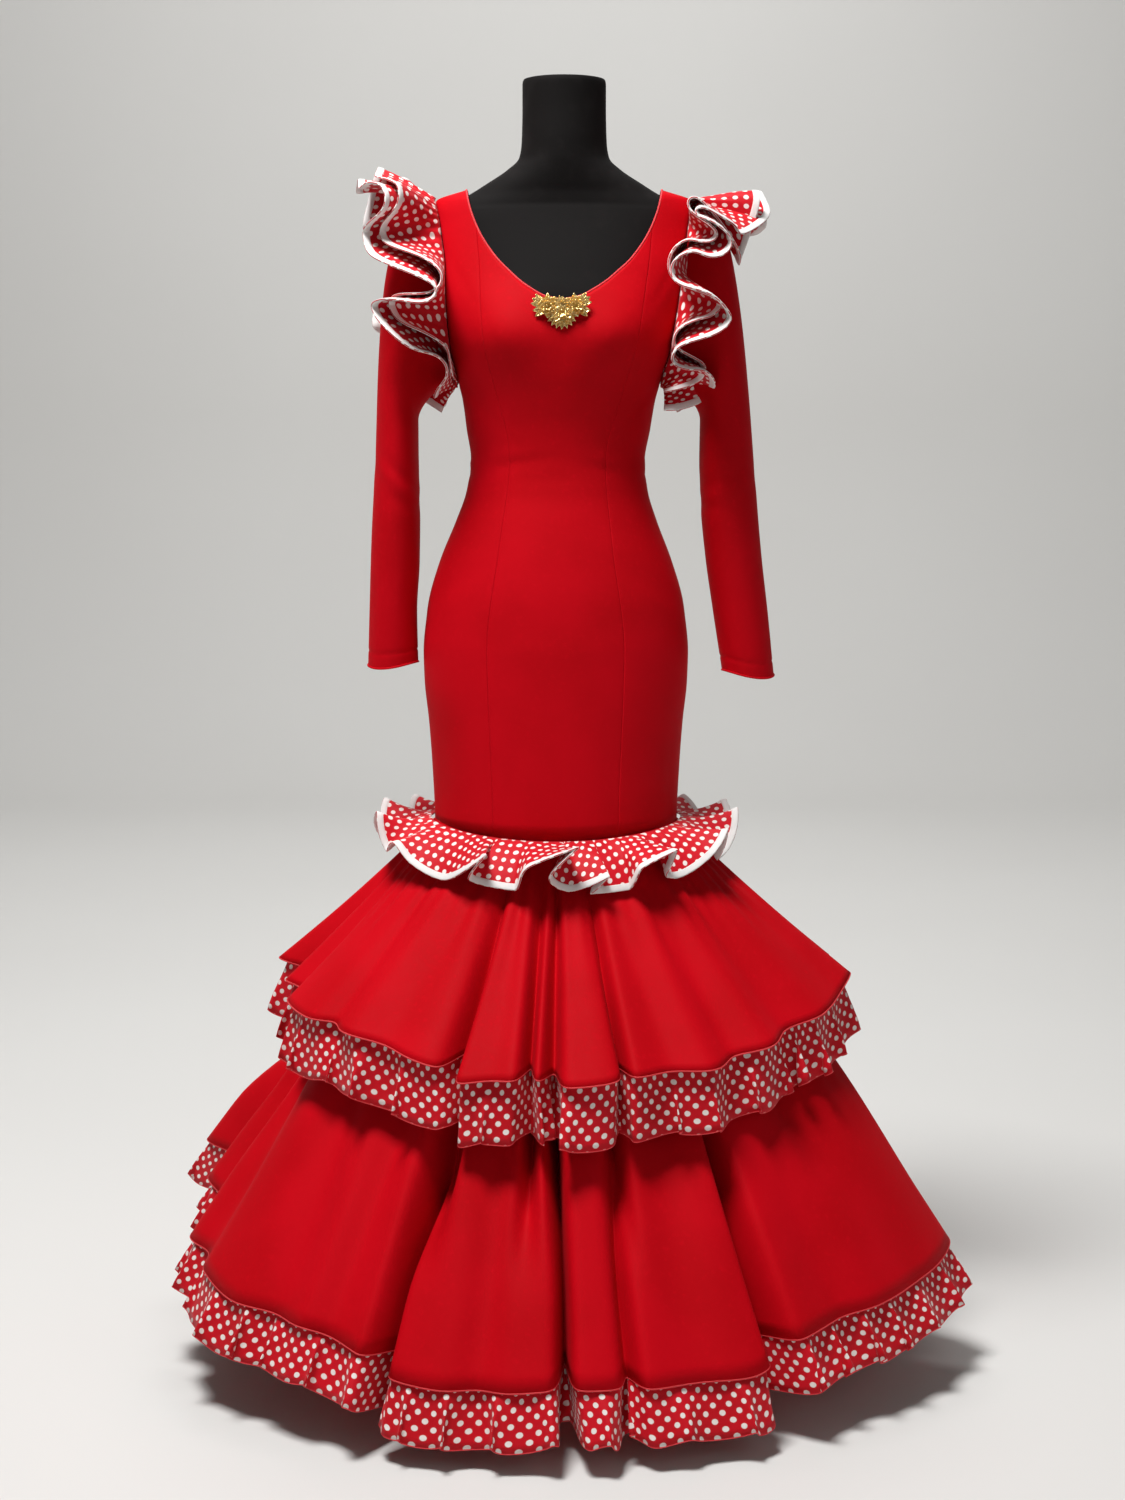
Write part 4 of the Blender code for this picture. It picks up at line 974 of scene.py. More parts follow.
# ---------------------------------------------------------------- bodice and skirt
@dataclass(frozen=True)
class Panels:
    """Seven fitted panels with princess seams, their soft creases, and the rolled neckline."""

    figure: Figure
    finishes: Finishes
    cloth: float = 0.0014
    rows: int = 110
    groove: float = 0.00020
    groove_width: float = 0.0024
    strap_z: float = 1.352
    neck_shoulder_z: float = 1.3955
    yoke_z: float = 1.30
    roll_radius: float = 0.00125
    roll_inset: float = 0.0006
    roll_points: int = 181
    girth: float = 0.125
    crowding: float = 0.11
    side_cells: int = 26
    front_cells: int = 44
    back_cells: int = 22
    strap_rows: int = 16
    neck_passes: int = 30
    ease: tuple[float, float] = (1.02, 1.01)
    princess_front: Table = (
        (0.54, 0.078), (0.652, 0.074), (0.86, 0.080), (0.98, 0.066), (1.08, 0.056), (1.16, 0.074),
        (1.22, 0.090), (1.30, 0.098), (1.352, 0.103),
    )
    princess_back: Table = (
        (0.54, 0.078), (0.652, 0.074), (0.86, 0.082), (0.98, 0.064), (1.08, 0.050), (1.16, 0.062),
        (1.22, 0.076), (1.30, 0.092), (1.352, 0.103),
    )
    neck_front: Table = (
        (0, 1.2630), (0.020, 1.2670), (0.035, 1.2750), (0.051, 1.2860), (0.064, 1.2980), (0.0765, 1.3100),
        (0.0865, 1.3230), (0.095, 1.3360), (0.103, 1.3520), (0.1105, 1.3730), (0.1155, 1.3955),
    )
    neck_back: Table = (
        (0, 1.3000), (0.030, 1.3030), (0.060, 1.3160), (0.085, 1.3330), (0.103, 1.3520), (0.1105, 1.3730),
        (0.1155, 1.3955),
    )
    creases: Creases = Creases(
        (
            (-34, 1.075, 8, 0.055, 0.0050, -0.9), (-30, 1.087, 4, 0.050, 0.0055, 0.8),
            (38, 1.068, -9, 0.050, 0.0050, -0.9), (34, 1.081, -5, 0.048, 0.0055, 0.8),
            (4, 1.058, 2, 0.060, 0.0070, -0.5), (72, 1.060, 6, 0.045, 0.0045, -1.2),
            (78, 1.072, 3, 0.040, 0.0050, 1), (-74, 1.062, -7, 0.045, 0.0045, -1.2),
            (-80, 1.074, -2, 0.040, 0.0050, 1), (60, 1.150, 38, 0.050, 0.0060, -1),
            (-60, 1.154, -38, 0.050, 0.0060, -1), (24, 1.190, 66, 0.050, 0.0080, -0.6),
            (-26, 1.186, -64, 0.052, 0.0080, -0.6), (50, 1.285, 58, 0.040, 0.0060, -0.7),
            (-50, 1.290, -56, 0.042, 0.0060, -0.7), (-58, 0.930, 30, 0.070, 0.0100, -0.8),
            (60, 0.925, -26, 0.070, 0.0100, -0.8), (-20, 0.700, 82, 0.060, 0.0090, -0.7),
            (26, 0.705, 96, 0.065, 0.0090, -0.8), (-64, 0.710, 88, 0.070, 0.0090, -0.9),
            (66, 0.700, 92, 0.060, 0.0090, -0.9), (2, 0.860, 0, 0.090, 0.0160, 0.5),
            (150, 1.070, 7, 0.050, 0.0050, -1.1), (154, 1.084, 3, 0.048, 0.0055, 1),
            (-150, 1.066, -8, 0.052, 0.0050, -1.1), (-155, 1.080, -4, 0.046, 0.0055, 1),
            (168, 1.100, 4, 0.050, 0.0060, -0.9), (-170, 1.112, -6, 0.045, 0.0060, -0.8),
            (122, 1.200, 52, 0.050, 0.0070, -1), (-124, 1.205, -50, 0.052, 0.0070, -1),
            (140, 0.920, 24, 0.070, 0.0110, -0.9), (-138, 0.915, -22, 0.070, 0.0110, -0.9),
            (160, 0.760, 80, 0.070, 0.0100, -0.9), (-156, 0.755, 98, 0.070, 0.0100, -0.9),
            (118, 0.705, 86, 0.065, 0.0090, -0.8), (-114, 0.700, 94, 0.065, 0.0090, -0.8),
        )
    )

    def surface(self, angle: Array, z: Array, edge: Array) -> Array:
        """Outside of the dress with its creases, dipped close to the seams.

        Args:
            angle: degrees for every grid point.
            z: height for every grid point.
            edge: distance in metres of every grid point to the nearest seam.

        Returns:
            The grid of points.
        """
        dip = self.groove * np.exp(-((edge / self.groove_width) ** 2))
        return self.figure.point(angle, z, dip - self.creases.rise(angle, z, self.girth))

    def shares(self, cells: int) -> Array:
        """Places across a panel from 0 to 1, closer together at both seams."""
        even = np.linspace(0.0, 1.0, cells + 1)
        return even - self.crowding * np.sin(2 * np.pi * even)

    def weave(self, angle: Array, z: Array, share: Array, width: Array) -> Weave:
        """Grid of a panel from its angles and heights, with seams at both of its sides."""
        edge = np.minimum(share, 1.0 - share)[None, :] * width[:, None]
        points = self.surface(angle, z, edge)
        return Weave(points, straight_cut(points, False))

    def side_panel(self, side: float, back: bool) -> Weave:
        """Panel from the princess seam to the side seam and armhole, with its half of the strap.

        Args:
            side: sign of x.
            back: True for the back of the dress.

        Returns:
            The grid, from the thigh seam up to the shoulder seam.
        """
        figure = self.figure
        low = np.linspace(figure.seam_side_z, self.strap_z, self.rows)
        z = np.concatenate([low, np.linspace(self.strap_z, self.neck_shoulder_z, self.strap_rows)[1:]])
        seam = self.princess_back if back else self.princess_front
        neck = self.neck_back if back else self.neck_front
        on_neck = smooth(z, column(neck, 1), column(neck, 0))
        inner_out = np.where(z > self.strap_z, on_neck, read(z, seam))
        stretch = (figure.shoulder_z - self.yoke_z) / (self.neck_shoulder_z - self.yoke_z)
        outer_z = np.where(z > self.yoke_z, self.yoke_z + (z - self.yoke_z) * stretch, z)
        inner = figure.edge_angle(inner_out, z)
        edge = read(outer_z, figure.armhole_rows, 2 if back else 1)
        outer = np.where(outer_z < figure.underarm_z, 90.0, edge)
        inner = 180.0 - inner if back else inner
        inner[-1] = 90.0
        share = self.shares(self.side_cells)
        angle = side * (inner[:, None] * (1 - share) + outer[:, None] * share)
        height = z[:, None] * (1 - share) + outer_z[:, None] * share
        height[0] = figure.seam_z(angle[0])
        width = np.abs(np.radians(outer - inner)) * figure.half_width(z)
        return self.weave(angle, height, share, width)

    def centre_panel(self, side: float, back: bool) -> Weave:
        """Centre front panel, or one half of the centre back, up to the neckline.

        Args:
            side: sign of x, 0 for the whole centre front.
            back: True for the back of the dress.

        Returns:
            The grid, from the thigh seam up to the neckline.
        """
        figure = self.figure
        seam = self.princess_back if back else self.princess_front
        neck = self.neck_back if back else self.neck_front
        even = self.shares(self.front_cells if side == 0 else self.back_cells)
        share = even * 2 - 1 if side == 0 else even
        top = np.full_like(share, self.yoke_z)
        for _ in range(self.neck_passes):
            reach = np.abs(share) * read(top, seam)
            top = read(reach, neck)
        rise = np.linspace(0.0, 1.0, self.rows)[:, None]
        z = figure.seam_side_z + rise * (top[None, :] - figure.seam_side_z)
        half = read(z, seam)
        angle = figure.edge_angle(share[None, :] * half, z)
        if back:
            angle = side * (180.0 - angle)
        z[0] = figure.seam_z(angle[0])
        return self.weave(angle, z, even, half.mean(axis=1) * (2.0 if side == 0 else 1.0))

    def neckline(self) -> Array:
        """Closed line along both necklines, a little inside the outer surface."""
        reach = self.neck_front[-1][0]
        out = reach * np.sin(np.linspace(-np.pi / 2, np.pi / 2, self.roll_points))
        lines = []
        for rows, turn in ((self.neck_front, 1.0), (self.neck_back, -1.0)):
            z = read(np.abs(out), rows)
            angle = self.figure.edge_angle(out, z)
            angle = angle if turn > 0 else 180.0 - angle
            line = self.figure.point(angle, z, self.roll_inset)
            lines.append(line if turn > 0 else line[::-1])
        loop = np.concatenate([lines[0], lines[1][1:-1]])
        return softened(loop[None], 2, True)[0]

    def build(self) -> None:
        """Make the seven panels and the neckline roll."""
        plans = [("front_centre", self.centre_panel(0.0, False), False)]
        for side in Side:
            label = side.name.lower()
            plans.append(("front_side_" + label, self.side_panel(side.value, False), side is Side.LEFT))
            plans.append(("back_side_" + label, self.side_panel(side.value, True), side is Side.RIGHT))
            plans.append(("back_centre_" + label, self.centre_panel(side.value, True), side is Side.RIGHT))
        roll = self.neckline()
        inward = unit(np.gradient(roll, axis=0))
        outwards = unit(roll * np.array([1.0, 1.0, 0.0]))
        across = unit(np.cross(inward, outwards))
        band = bent_band(roll, outwards, across, circle(self.roll_radius, ROLL_SIDES), True)
        edge = fit_out("neckline_roll", swept("neckline_roll", band), self.finishes.rolled, ())
        for name, weave, flip in plans:
            crepe = self.finishes.crepe
            piece = cloth_piece(name, weave, flip, crepe, self.cloth, -1.0)
            width = longest(run_length(weave.points)) * self.ease[0]
            length = longest(down_run(weave.points)) * self.ease[1]
            trims = [edge] if name == "front_centre" else []
            declare_cloth(piece, (width, length))


# ---------------------------------------------------------------- sleeves
@dataclass(frozen=True)
class Sleeves:
    """Two narrow sleeves with an underarm seam, elbow creases and a plain turned cuff."""

    figure: Figure
    finishes: Finishes
    cloth: float = 0.0014
    sides: int = 96
    rows: int = 160
    head_step: float = 0.014
    hem: float = 0.018
    hem_roll: float = 0.0013
    hem_inset: float = 0.0009
    seam_gap: float = 0.0022
    # how much of the armhole's shape the first ring keeps, and how much less each next one does
    head_keep: tuple[float, float] = (0.7, 0.35)
    fold_start: tuple[float, float] = (0.10, 0.25)
    # depth and half width of the dents along the hem's stitching and the underarm seam
    hem_dent: tuple[float, float] = (0.0008, 0.0012)
    seam_dent: tuple[float, float] = (0.0006, 0.0016)
    girth: float = 0.25
    fold_girth: float = 0.040
    cuff_wave: float = 0.0020
    cuff_phase: float = 0.8
    cuff_from: float = 0.80
    ease: tuple[float, float] = (1.03, 1.01)
    # inner edge out, inner edge height, outer edge out, outer edge height, half depth
    left_rings: Table = (
        (0.133, 1.1600, 0.160, 1.3800, 0.049), (0.150, 1.1500, 0.186, 1.3500, 0.051),
        (0.1635, 1.1260, 0.203, 1.2800, 0.053), (0.1635, 1.0900, 0.2105, 1.1900, 0.052),
        (0.162, 1.0300, 0.2145, 1.0900, 0.050), (0.163, 0.9600, 0.2205, 0.9850, 0.046),
        (0.1665, 0.8980, 0.2235, 0.9050, 0.041), (0.1655, 0.8370, 0.2260, 0.8330, 0.035),
    )
    right_rings: Table = (
        (0.142, 1.1600, 0.170, 1.3800, 0.049), (0.158, 1.1500, 0.197, 1.3500, 0.051),
        (0.1715, 1.1260, 0.217, 1.2650, 0.053), (0.171, 1.0800, 0.228, 1.1700, 0.052),
        (0.173, 1.0250, 0.237, 1.0650, 0.050), (0.179, 0.9650, 0.246, 0.9680, 0.046),
        (0.1885, 0.9000, 0.2545, 0.8970, 0.041), (0.200, 0.8270, 0.2625, 0.8210, 0.035),
    )
    # place round the sleeve, share down it, tilt, half length, half width in metres, depth in millimetres
    folds: Table = (
        (0.24, 0.50, 14, 0.040, 0.0105, -1), (0.30, 0.53, 10, 0.044, 0.0110, 0.8),
        (0.22, 0.57, 22, 0.038, 0.0100, -0.8), (0.42, 0.55, -12, 0.036, 0.0100, -0.7),
        (0.12, 0.47, 30, 0.040, 0.0100, -0.9), (0.06, 0.54, 12, 0.034, 0.0090, -0.9),
        (0.94, 0.51, -14, 0.034, 0.0090, -0.9), (0.80, 0.49, -20, 0.040, 0.0105, -0.9),
        (0.72, 0.55, -10, 0.042, 0.0110, 0.8), (0.18, 0.30, 60, 0.050, 0.0120, -1.1),
        (0.30, 0.33, 74, 0.054, 0.0130, -0.9), (0.82, 0.31, -62, 0.050, 0.0120, -1.1),
        (0.26, 0.80, 84, 0.070, 0.0130, -0.8), (0.40, 0.88, 80, 0.055, 0.0120, -0.7),
        (0.60, 0.72, 88, 0.070, 0.0130, -0.7), (0.10, 0.92, 70, 0.040, 0.0100, -0.6),
    )

    def rings(self, side: Side) -> Array:
        """The sleeve's rings: the armhole moved out, then ovals that keep less and less of its shape.

        Args:
            side: which sleeve.

        Returns:
            Points of ring, place round it, and coordinate.
        """
        place = np.arange(self.sides) / self.sides
        phase = 2 * np.pi * place
        first = self.figure.armhole(place, side.value)
        first[:, 0] += side.value * self.seam_gap
        made = [first]
        for index, row in enumerate(self.left_rings if side is Side.LEFT else self.right_rings):
            inner_x, inner_z, outer_x, outer_z, depth = row
            x = (inner_x + outer_x) / 2 - (outer_x - inner_x) / 2 * np.cos(phase)
            z = (inner_z + outer_z) / 2 - (outer_z - inner_z) / 2 * np.cos(phase)
            oval = np.stack([side.value * x, -depth * np.sin(phase), z], axis=-1)
            head = max(0.0, self.head_keep[0] - self.head_keep[1] * index)
            moved = first + np.array([side.value * self.head_step * (index + 1), 0.0, 0.0])
            made.append(oval * (1 - head) + moved * head)
        return np.array(made)

    def weave(self, side: Side) -> Weave:
        """Fine grid down the sleeve: rings joined by a smooth curve, its folds pushed along the normal.

        Args:
            side: which sleeve.

        Returns:
            The grid, from the head to the cuff.
        """
        rings = self.rings(side)
        run = down_run(rings).mean(axis=0)
        down = np.linspace(0.0, run[-1], self.rows)
        points = smooth(down, run, rings)
        share = down[:, None] / run[-1]
        place = np.arange(self.sides)[None, :] / self.sides
        bells = Creases(tuple((360.0 * row[0], row[1] * run[-1], *row[2:]) for row in self.folds))
        rise = bells.rise(360.0 * place, down[:, None] + 0 * place, self.fold_girth)
        rise = rise * ramp(share, *self.fold_start)
        dent, width = self.hem_dent
        rise = rise - dent * np.exp(-(((down[:, None] - run[-1] + self.hem) / width) ** 2))
        seam = np.minimum(place, 1.0 - place) * self.girth
        dent, width = self.seam_dent
        rise = rise - dent * np.exp(-((seam / width) ** 2))
        wave = self.cuff_wave * np.sin(2 * np.pi * place * 2 + self.cuff_phase)
        points[..., 2] += wave * ramp(share, self.cuff_from, 1.0)
        points = points - side.value * grid_normals(points, True) * rise[..., None]
        return Weave(points, straight_cut(points, True), True)

    def build(self) -> None:
        """Make both sleeves with the roll of their cuffs."""
        crepe = self.finishes.crepe
        for side in Side:
            label = side.name.lower()
            weave = self.weave(side)
            flip = side is Side.RIGHT
            piece = cloth_piece("sleeve_" + label, weave, flip, crepe, self.cloth, -1.0)
            edge, inward, off = hem_line(weave.points, True)
            line = edge + inward * self.hem_inset
            band = bent_band(line, inward, off, circle(self.hem_roll, ROLL_SIDES), True)
            name = "cuff_fold_" + label
            cuff = fit_out(name, swept(name, band), crepe, ())
            girth = longest(run_length(weave.points)) * self.ease[0]
            length = longest(down_run(weave.points)) * self.ease[1]
            declare_cloth(piece, (girth, length))


# ---------------------------------------------------------------- bound frills
@dataclass(frozen=True)
class BoundEdge:
    """White bias binding folded over the free edge of a frill."""

    finishes: Finishes
    width: float = 0.0085
    thickness: float = 0.0027
    loop: int = 16

    def build(self, name: str, points: Array, closed: bool, nodes: Sequence[str]) -> bpy.types.Object:
        """Sweep a flat rounded loop along the free edge.

        Args:
            name: name of the piece.
            points: grid of the frill, its free edge last.
            closed: True where the frill runs all the way round.
            nodes: CAD nodes that the binding replaces.

        Returns:
            The binding.
        """
        edge, inward, side = hem_line(points, closed)
        band = bent_band(edge, inward, side, stadium(self.width, self.thickness, self.loop), closed)
        return fit_out(name, swept(name, band), self.finishes.binding, nodes)


@dataclass(frozen=True)
class ShoulderFrills:
    """Two tiers of ring-cut frill sewn into each armhole, their free edges laid in uneven S folds."""

    figure: Figure
    finishes: Finishes
    cloth: float = 0.0011
    columns: int = 480
    rows: int = 18
    # place round the armhole, free edge's distance out, forward and up from the seam in millimetres
    upper_left: Table = (
        (0.060, 6, 39, 5), (0.085, 6, 48, 11), (0.105, 6, 58, 19), (0.125, 13, 67, 20), (0.142, 31, 67, 22),
        (0.160, 50, 59, 20), (0.175, 61, 48, 20), (0.195, 67, 38, 23), (0.212, 58, 52, 20),
        (0.230, 33, 72, 8), (0.245, 13, 79, -1), (0.258, 3, 80, -3), (0.270, 0, 80, -2), (0.285, 5, 80, -1),
        (0.302, 24, 76, 1), (0.320, 50, 63, 0), (0.335, 66, 46, -1), (0.350, 71, 37, 2), (0.365, 67, 43, 4),
        (0.385, 52, 60, 7), (0.405, 42, 66, 15), (0.425, 43, 64, 22), (0.445, 55, 52, 25),
        (0.465, 70, 27, 28), (0.500, 69, -12, 40), (0.540, 78, -8, 18), (0.575, 42, -50, 46),
        (0.605, 33, -65, 34), (0.645, 75, -26, 9), (0.680, 73, -31, 10), (0.715, 3, -80, 7),
        (0.750, -3, -80, 0), (0.790, 73, -32, -6), (0.820, 75, -26, -7), (0.855, 2, -67, -40),
        (0.900, 19, -44, -33), (0.940, 19, -20, -29),
    )
    lower_left: Table = (
        (0.045, 28, 28, -17), (0.055, 25, 36, -11), (0.075, 11, 52, -2), (0.095, 8, 65, 4),
        (0.115, 20, 75, 9), (0.130, 39, 77, 6), (0.145, 53, 75, 7), (0.165, 70, 63, 11),
        (0.190, 84, 41, 14), (0.205, 87, 35, 15), (0.218, 73, 60, 11), (0.232, 47, 82, -1),
        (0.245, 24, 91, -14), (0.256, 10, 93, -17), (0.268, 5, 94, -14), (0.280, 15, 93, -13),
        (0.295, 37, 86, -13), (0.313, 64, 69, -13), (0.330, 82, 45, -13), (0.345, 89, 32, -9),
        (0.362, 90, 29, -2), (0.378, 82, 48, -2), (0.400, 62, 72, 1), (0.420, 56, 76, 9),
        (0.438, 62, 69, 19), (0.455, 78, 51, 20), (0.470, 88, 33, 11), (0.495, 91, 11, 24),
        (0.530, 94, 0, 11), (0.570, 82, -36, 31), (0.610, 94, -5, -2), (0.655, 92, -22, 8),
        (0.690, 20, -90, 25), (0.730, 10, -94, 5), (0.770, 92, -23, -2), (0.800, 94, -13, -3),
        (0.835, 16, -89, -29), (0.860, 8, -77, -49), (0.900, 62, -21, -19), (0.945, 22, -19, -35),
    )
    upper_right: Table = (
        (0.045, 4, 35, -10), (0.065, 18, 35, -12), (0.085, 34, 34, -13), (0.102, 46, 35, -11),
        (0.120, 44, 53, -6), (0.136, 21, 72, -3), (0.150, 3, 79, -2), (0.165, -1, 80, 0), (0.180, 5, 80, 3),
        (0.197, 23, 77, 1), (0.215, 39, 69, -6), (0.230, 48, 64, -5), (0.245, 37, 71, -6),
        (0.260, 14, 78, -9), (0.275, -7, 79, -12), (0.290, -18, 77, -11), (0.303, -21, 77, -6),
        (0.317, -17, 78, 0), (0.331, -4, 80, 2), (0.345, 11, 79, -8), (0.352, 23, 75, -14),
        (0.360, 33, 72, -11), (0.368, 31, 73, -7), (0.377, 17, 78, -2), (0.385, 2, 80, 2),
        (0.392, -6, 79, 7), (0.399, -7, 79, 14), (0.407, 1, 79, 15), (0.417, 11, 79, 4),
        (0.429, 29, 72, -20), (0.442, 49, 42, -47), (0.456, 58, 0, -63), (0.470, 54, -1, -76),
        (0.500, 80, 10, -3), (0.530, 78, -2, 14), (0.560, 78, 16, -12), (0.590, 75, -23, 14),
        (0.625, 73, -30, 13), (0.660, 27, -71, 25), (0.700, -3, -78, 16), (0.735, 14, -79, 3),
        (0.770, 49, -63, -4), (0.800, 51, -60, -13), (0.835, -3, -76, -25), (0.865, 2, -64, -39),
        (0.900, 36, -35, -28), (0.940, 18, -20, -29),
    )
    lower_right: Table = (
        (0.040, 4, 30, -30), (0.060, 23, 22, -34), (0.075, 42, 9, -32), (0.090, 56, 3, -28),
        (0.102, 60, 30, -22), (0.114, 53, 55, -16), (0.126, 39, 74, -14), (0.138, 22, 85, -21),
        (0.150, 3, 91, -24), (0.162, -4, 92, -22), (0.174, 1, 93, -17), (0.188, 15, 92, -19),
        (0.203, 37, 85, -22), (0.218, 52, 76, -23), (0.230, 59, 71, -20), (0.244, 49, 79, -17),
        (0.258, 34, 88, -14), (0.270, 17, 92, -16), (0.282, 1, 93, -21), (0.295, -14, 91, -23),
        (0.307, -19, 91, -18), (0.320, -16, 92, -15), (0.333, -2, 94, -14), (0.346, 10, 92, -22),
        (0.358, 23, 86, -34), (0.370, 36, 80, -37), (0.383, 45, 76, -35), (0.396, 46, 77, -31),
        (0.410, 32, 86, -23), (0.423, 14, 92, -18), (0.434, 2, 93, -19), (0.443, -2, 94, -13),
        (0.453, 5, 94, -12), (0.467, 18, 91, -19), (0.482, 33, 85, -28), (0.497, 48, 73, -36),
        (0.515, 53, 64, -45), (0.540, 94, -8, -11), (0.575, 85, -31, 28), (0.610, 95, 0, 0),
        (0.650, 89, -31, 11), (0.685, 10, -90, 27), (0.720, 3, -95, 7), (0.760, 61, -73, -2),
        (0.790, 66, -67, -12), (0.825, 10, -91, -25), (0.855, 9, -79, -47), (0.900, 62, -21, -19),
        (0.945, 22, -19, -35),
    )
    # distance out along the sleeve, and off the armhole edge
    upper_set: tuple[float, float] = (0.0008, 0.0030)
    lower_set: tuple[float, float] = (0.0048, 0.0026)
    belly: float = 0.13
    belly_way: tuple[float, float] = (0.25, 0.97)
    tangent_step: float = 0.003
    softening: int = 3
    gather: float = 0.0011
    gather_start: float = 0.12
    ease: float = 1.02

    def weave(self, side: Side, upper: bool) -> Weave:
        """Grid from the seam to the free edge of one tier.

        The edge is the table's smooth curve.  Between seam and edge the cloth runs straight at first and
        then rolls: it is pushed off the straight line by a share of its reach times a sine, out and up.

        Args:
            side: which shoulder.
            upper: True for the tier nearer the neck.

        Returns:
            The grid.
        """
        sign = side.value
        if side is Side.LEFT:
            rows = self.upper_left if upper else self.lower_left
        else:
            rows = self.upper_right if upper else self.lower_right
        along, off = self.upper_set if upper else self.lower_set
        place = np.linspace(rows[0][0], rows[-1][0], self.columns)
        root = self.figure.armhole(place, sign)
        step = self.tangent_step
        tangent = unit(self.figure.armhole(place + step, sign) - self.figure.armhole(place - step, sign))
        outwards = np.array([sign, 0.0, 0.0])
        away = unit(np.cross(tangent, outwards)) * sign
        table = smooth(place, column(rows, 0), np.array([row[1:] for row in rows])) * 0.001
        reach = table * np.array([sign, -1.0, 1.0])
        reach = softened(reach[None], self.softening, False)[0]
        base = root + outwards * along - away * off
        share = np.linspace(0.0, 1.0, self.rows)[:, None, None]
        length = np.linalg.norm(reach, axis=-1)[None, :, None]
        way = np.array([sign * self.belly_way[0], 0.0, self.belly_way[1]])
        bend = way * self.belly * length * np.sin(np.pi * share) * share
        gather = gathers(place * 2 * np.pi, self.gather)
        pinch = away[None] * gather[None, :, None] * (1 - share) * ramp(share, 0.0, self.gather_start)
        points = base[None] + (reach + (root - base))[None] * share + bend * 0.5 + pinch
        return Weave(points, ring_cut(points, False))

    def build(self) -> None:
        """Make the four tiers with their bindings."""
        binder = BoundEdge(self.finishes)
        for side in Side:
            for upper in (True, False):
                label = ("upper_" if upper else "lower_") + side.name.lower()
                weave = self.weave(side, upper)
                binding = binder.build("bias_" + label, weave.points, False, ("binding_" + label,))
                flip, polka = side is Side.LEFT, self.finishes.polka
                piece = cloth_piece("frill_" + label, weave, flip, polka, self.cloth)
                edge = longest(run_length(weave.points[-1]))
                depth = float(down_run(weave.points).mean(axis=0)[-1])
                rests = ["cloth_sleeve_" + side.name.lower()]
                declare_cloth(piece, (edge, depth * self.ease))


@dataclass(frozen=True)
class ThighFrill:
    """Ring-cut frill over the thigh seam, bound in white, its edge laid in uneven overlapping folds."""

    figure: Figure
    finishes: Finishes
    cloth: float = 0.0011
    reach: float = 0.070
    root: float = 0.0045
    start_droop: float = 12.0
    droop_power: float = 0.7
    gather: float = 0.0012
    gather_start: float = 0.10
    ease: float = 1.03
    steps: int = 18
    rows: int = 16
    # place on the seam, place of the free edge, droop, all in degrees
    folds: Table = (
        (-106, -106, -12), (-92, -97, 24), (-80, -77, -10), (-70, -72, 28), (-60, -61, 12), (-52, -54, 30),
        (-43, -41, 44), (-30, -21, 6), (-24, -29, 36), (-16, -14, 46), (-10, -9, 18), (2, 7, -4),
        (5, -2, 28), (9, 5, 46), (15, 17, 28), (19, 12, 52), (25, 26, 50), (30, 27, 24), (37, 40, 8),
        (41, 38, 34), (48, 46, 44), (58, 60, 24), (64, 68, 2), (70, 68, 36), (77, 79, 30), (86, 90, -8),
        (96, 94, 28), (106, 108, -10), (117, 114, 34), (130, 133, -6), (142, 139, 36), (154, 157, -4),
        (167, 163, 34), (180, 181, -6), (193, 189, 34), (206, 209, -4), (219, 215, 36), (231, 234, -8),
        (243, 240, 30),
    )

    def weave(self) -> Weave:
        """Grid of the frill: the angle slides from seam to edge, the droop grows with a power of the reach.

        Returns:
            The grid, closed round the body, its seam first.
        """
        count = len(self.folds)
        order = np.arange(-2, count + 3)
        index = np.arange(0.0, count, 1.0 / self.steps)
        full = order // count * 360.0
        cut = np.array(self.folds)[order % count]
        root_angle = smooth(index, order, cut[:, 0] + full)
        free_angle = smooth(index, order, cut[:, 1] + full)
        droop = np.radians(smooth(index, order, cut[:, 2]))
        share = np.linspace(0.0, 1.0, self.rows)[:, None]
        angle = np.radians(root_angle + (free_angle - root_angle) * share)
        degrees = np.degrees(angle)
        start = self.figure.point(degrees, self.figure.seam_z(degrees), -self.root)
        first = math.radians(self.start_droop)
        drop = first + (droop - first) * share**self.droop_power
        radial = np.stack([np.sin(angle), -np.cos(angle), 0 * angle], axis=-1)
        down = np.array([0.0, 0.0, -1.0])
        out = np.cos(drop)[..., None] * radial + np.sin(drop)[..., None] * down
        gather = gathers(np.radians(root_angle), self.gather)
        points = start + (self.reach * share)[..., None] * out
        points[..., 2] += gather * (1 - share) * ramp(share, 0.0, self.gather_start)
        points = softened(points, 1, True)
        return Weave(points, ring_cut(points, True), True)

    def build(self) -> None:
        """Make the frill with its binding."""
        weave = self.weave()
        binding = BoundEdge(self.finishes).build("bias_thigh", weave.points, True, ("thigh_frill_binding",))
        piece = cloth_piece("thigh_frill", weave, True, self.finishes.polka, self.cloth)
        edge = longest(run_length(weave.points[-1]))
        flat = (edge, self.reach * self.ease)
        declare_cloth(piece, flat)


# ---------------------------------------------------------------- flounces and trims
@dataclass(frozen=True)
class Oval:
    """Oval that a flounce edge runs round: half width, depth in front and depth behind."""

    width: float
    front: float
    back: float

    def radius(self, angle: Any) -> Array:
        """Radius at an angle from the centre front."""
        turn = np.radians(angle)
        depth = np.where(np.cos(turn) > 0, self.front, self.back)
        return 1.0 / np.sqrt((np.sin(turn) / self.width) ** 2 + (np.cos(turn) / depth) ** 2)


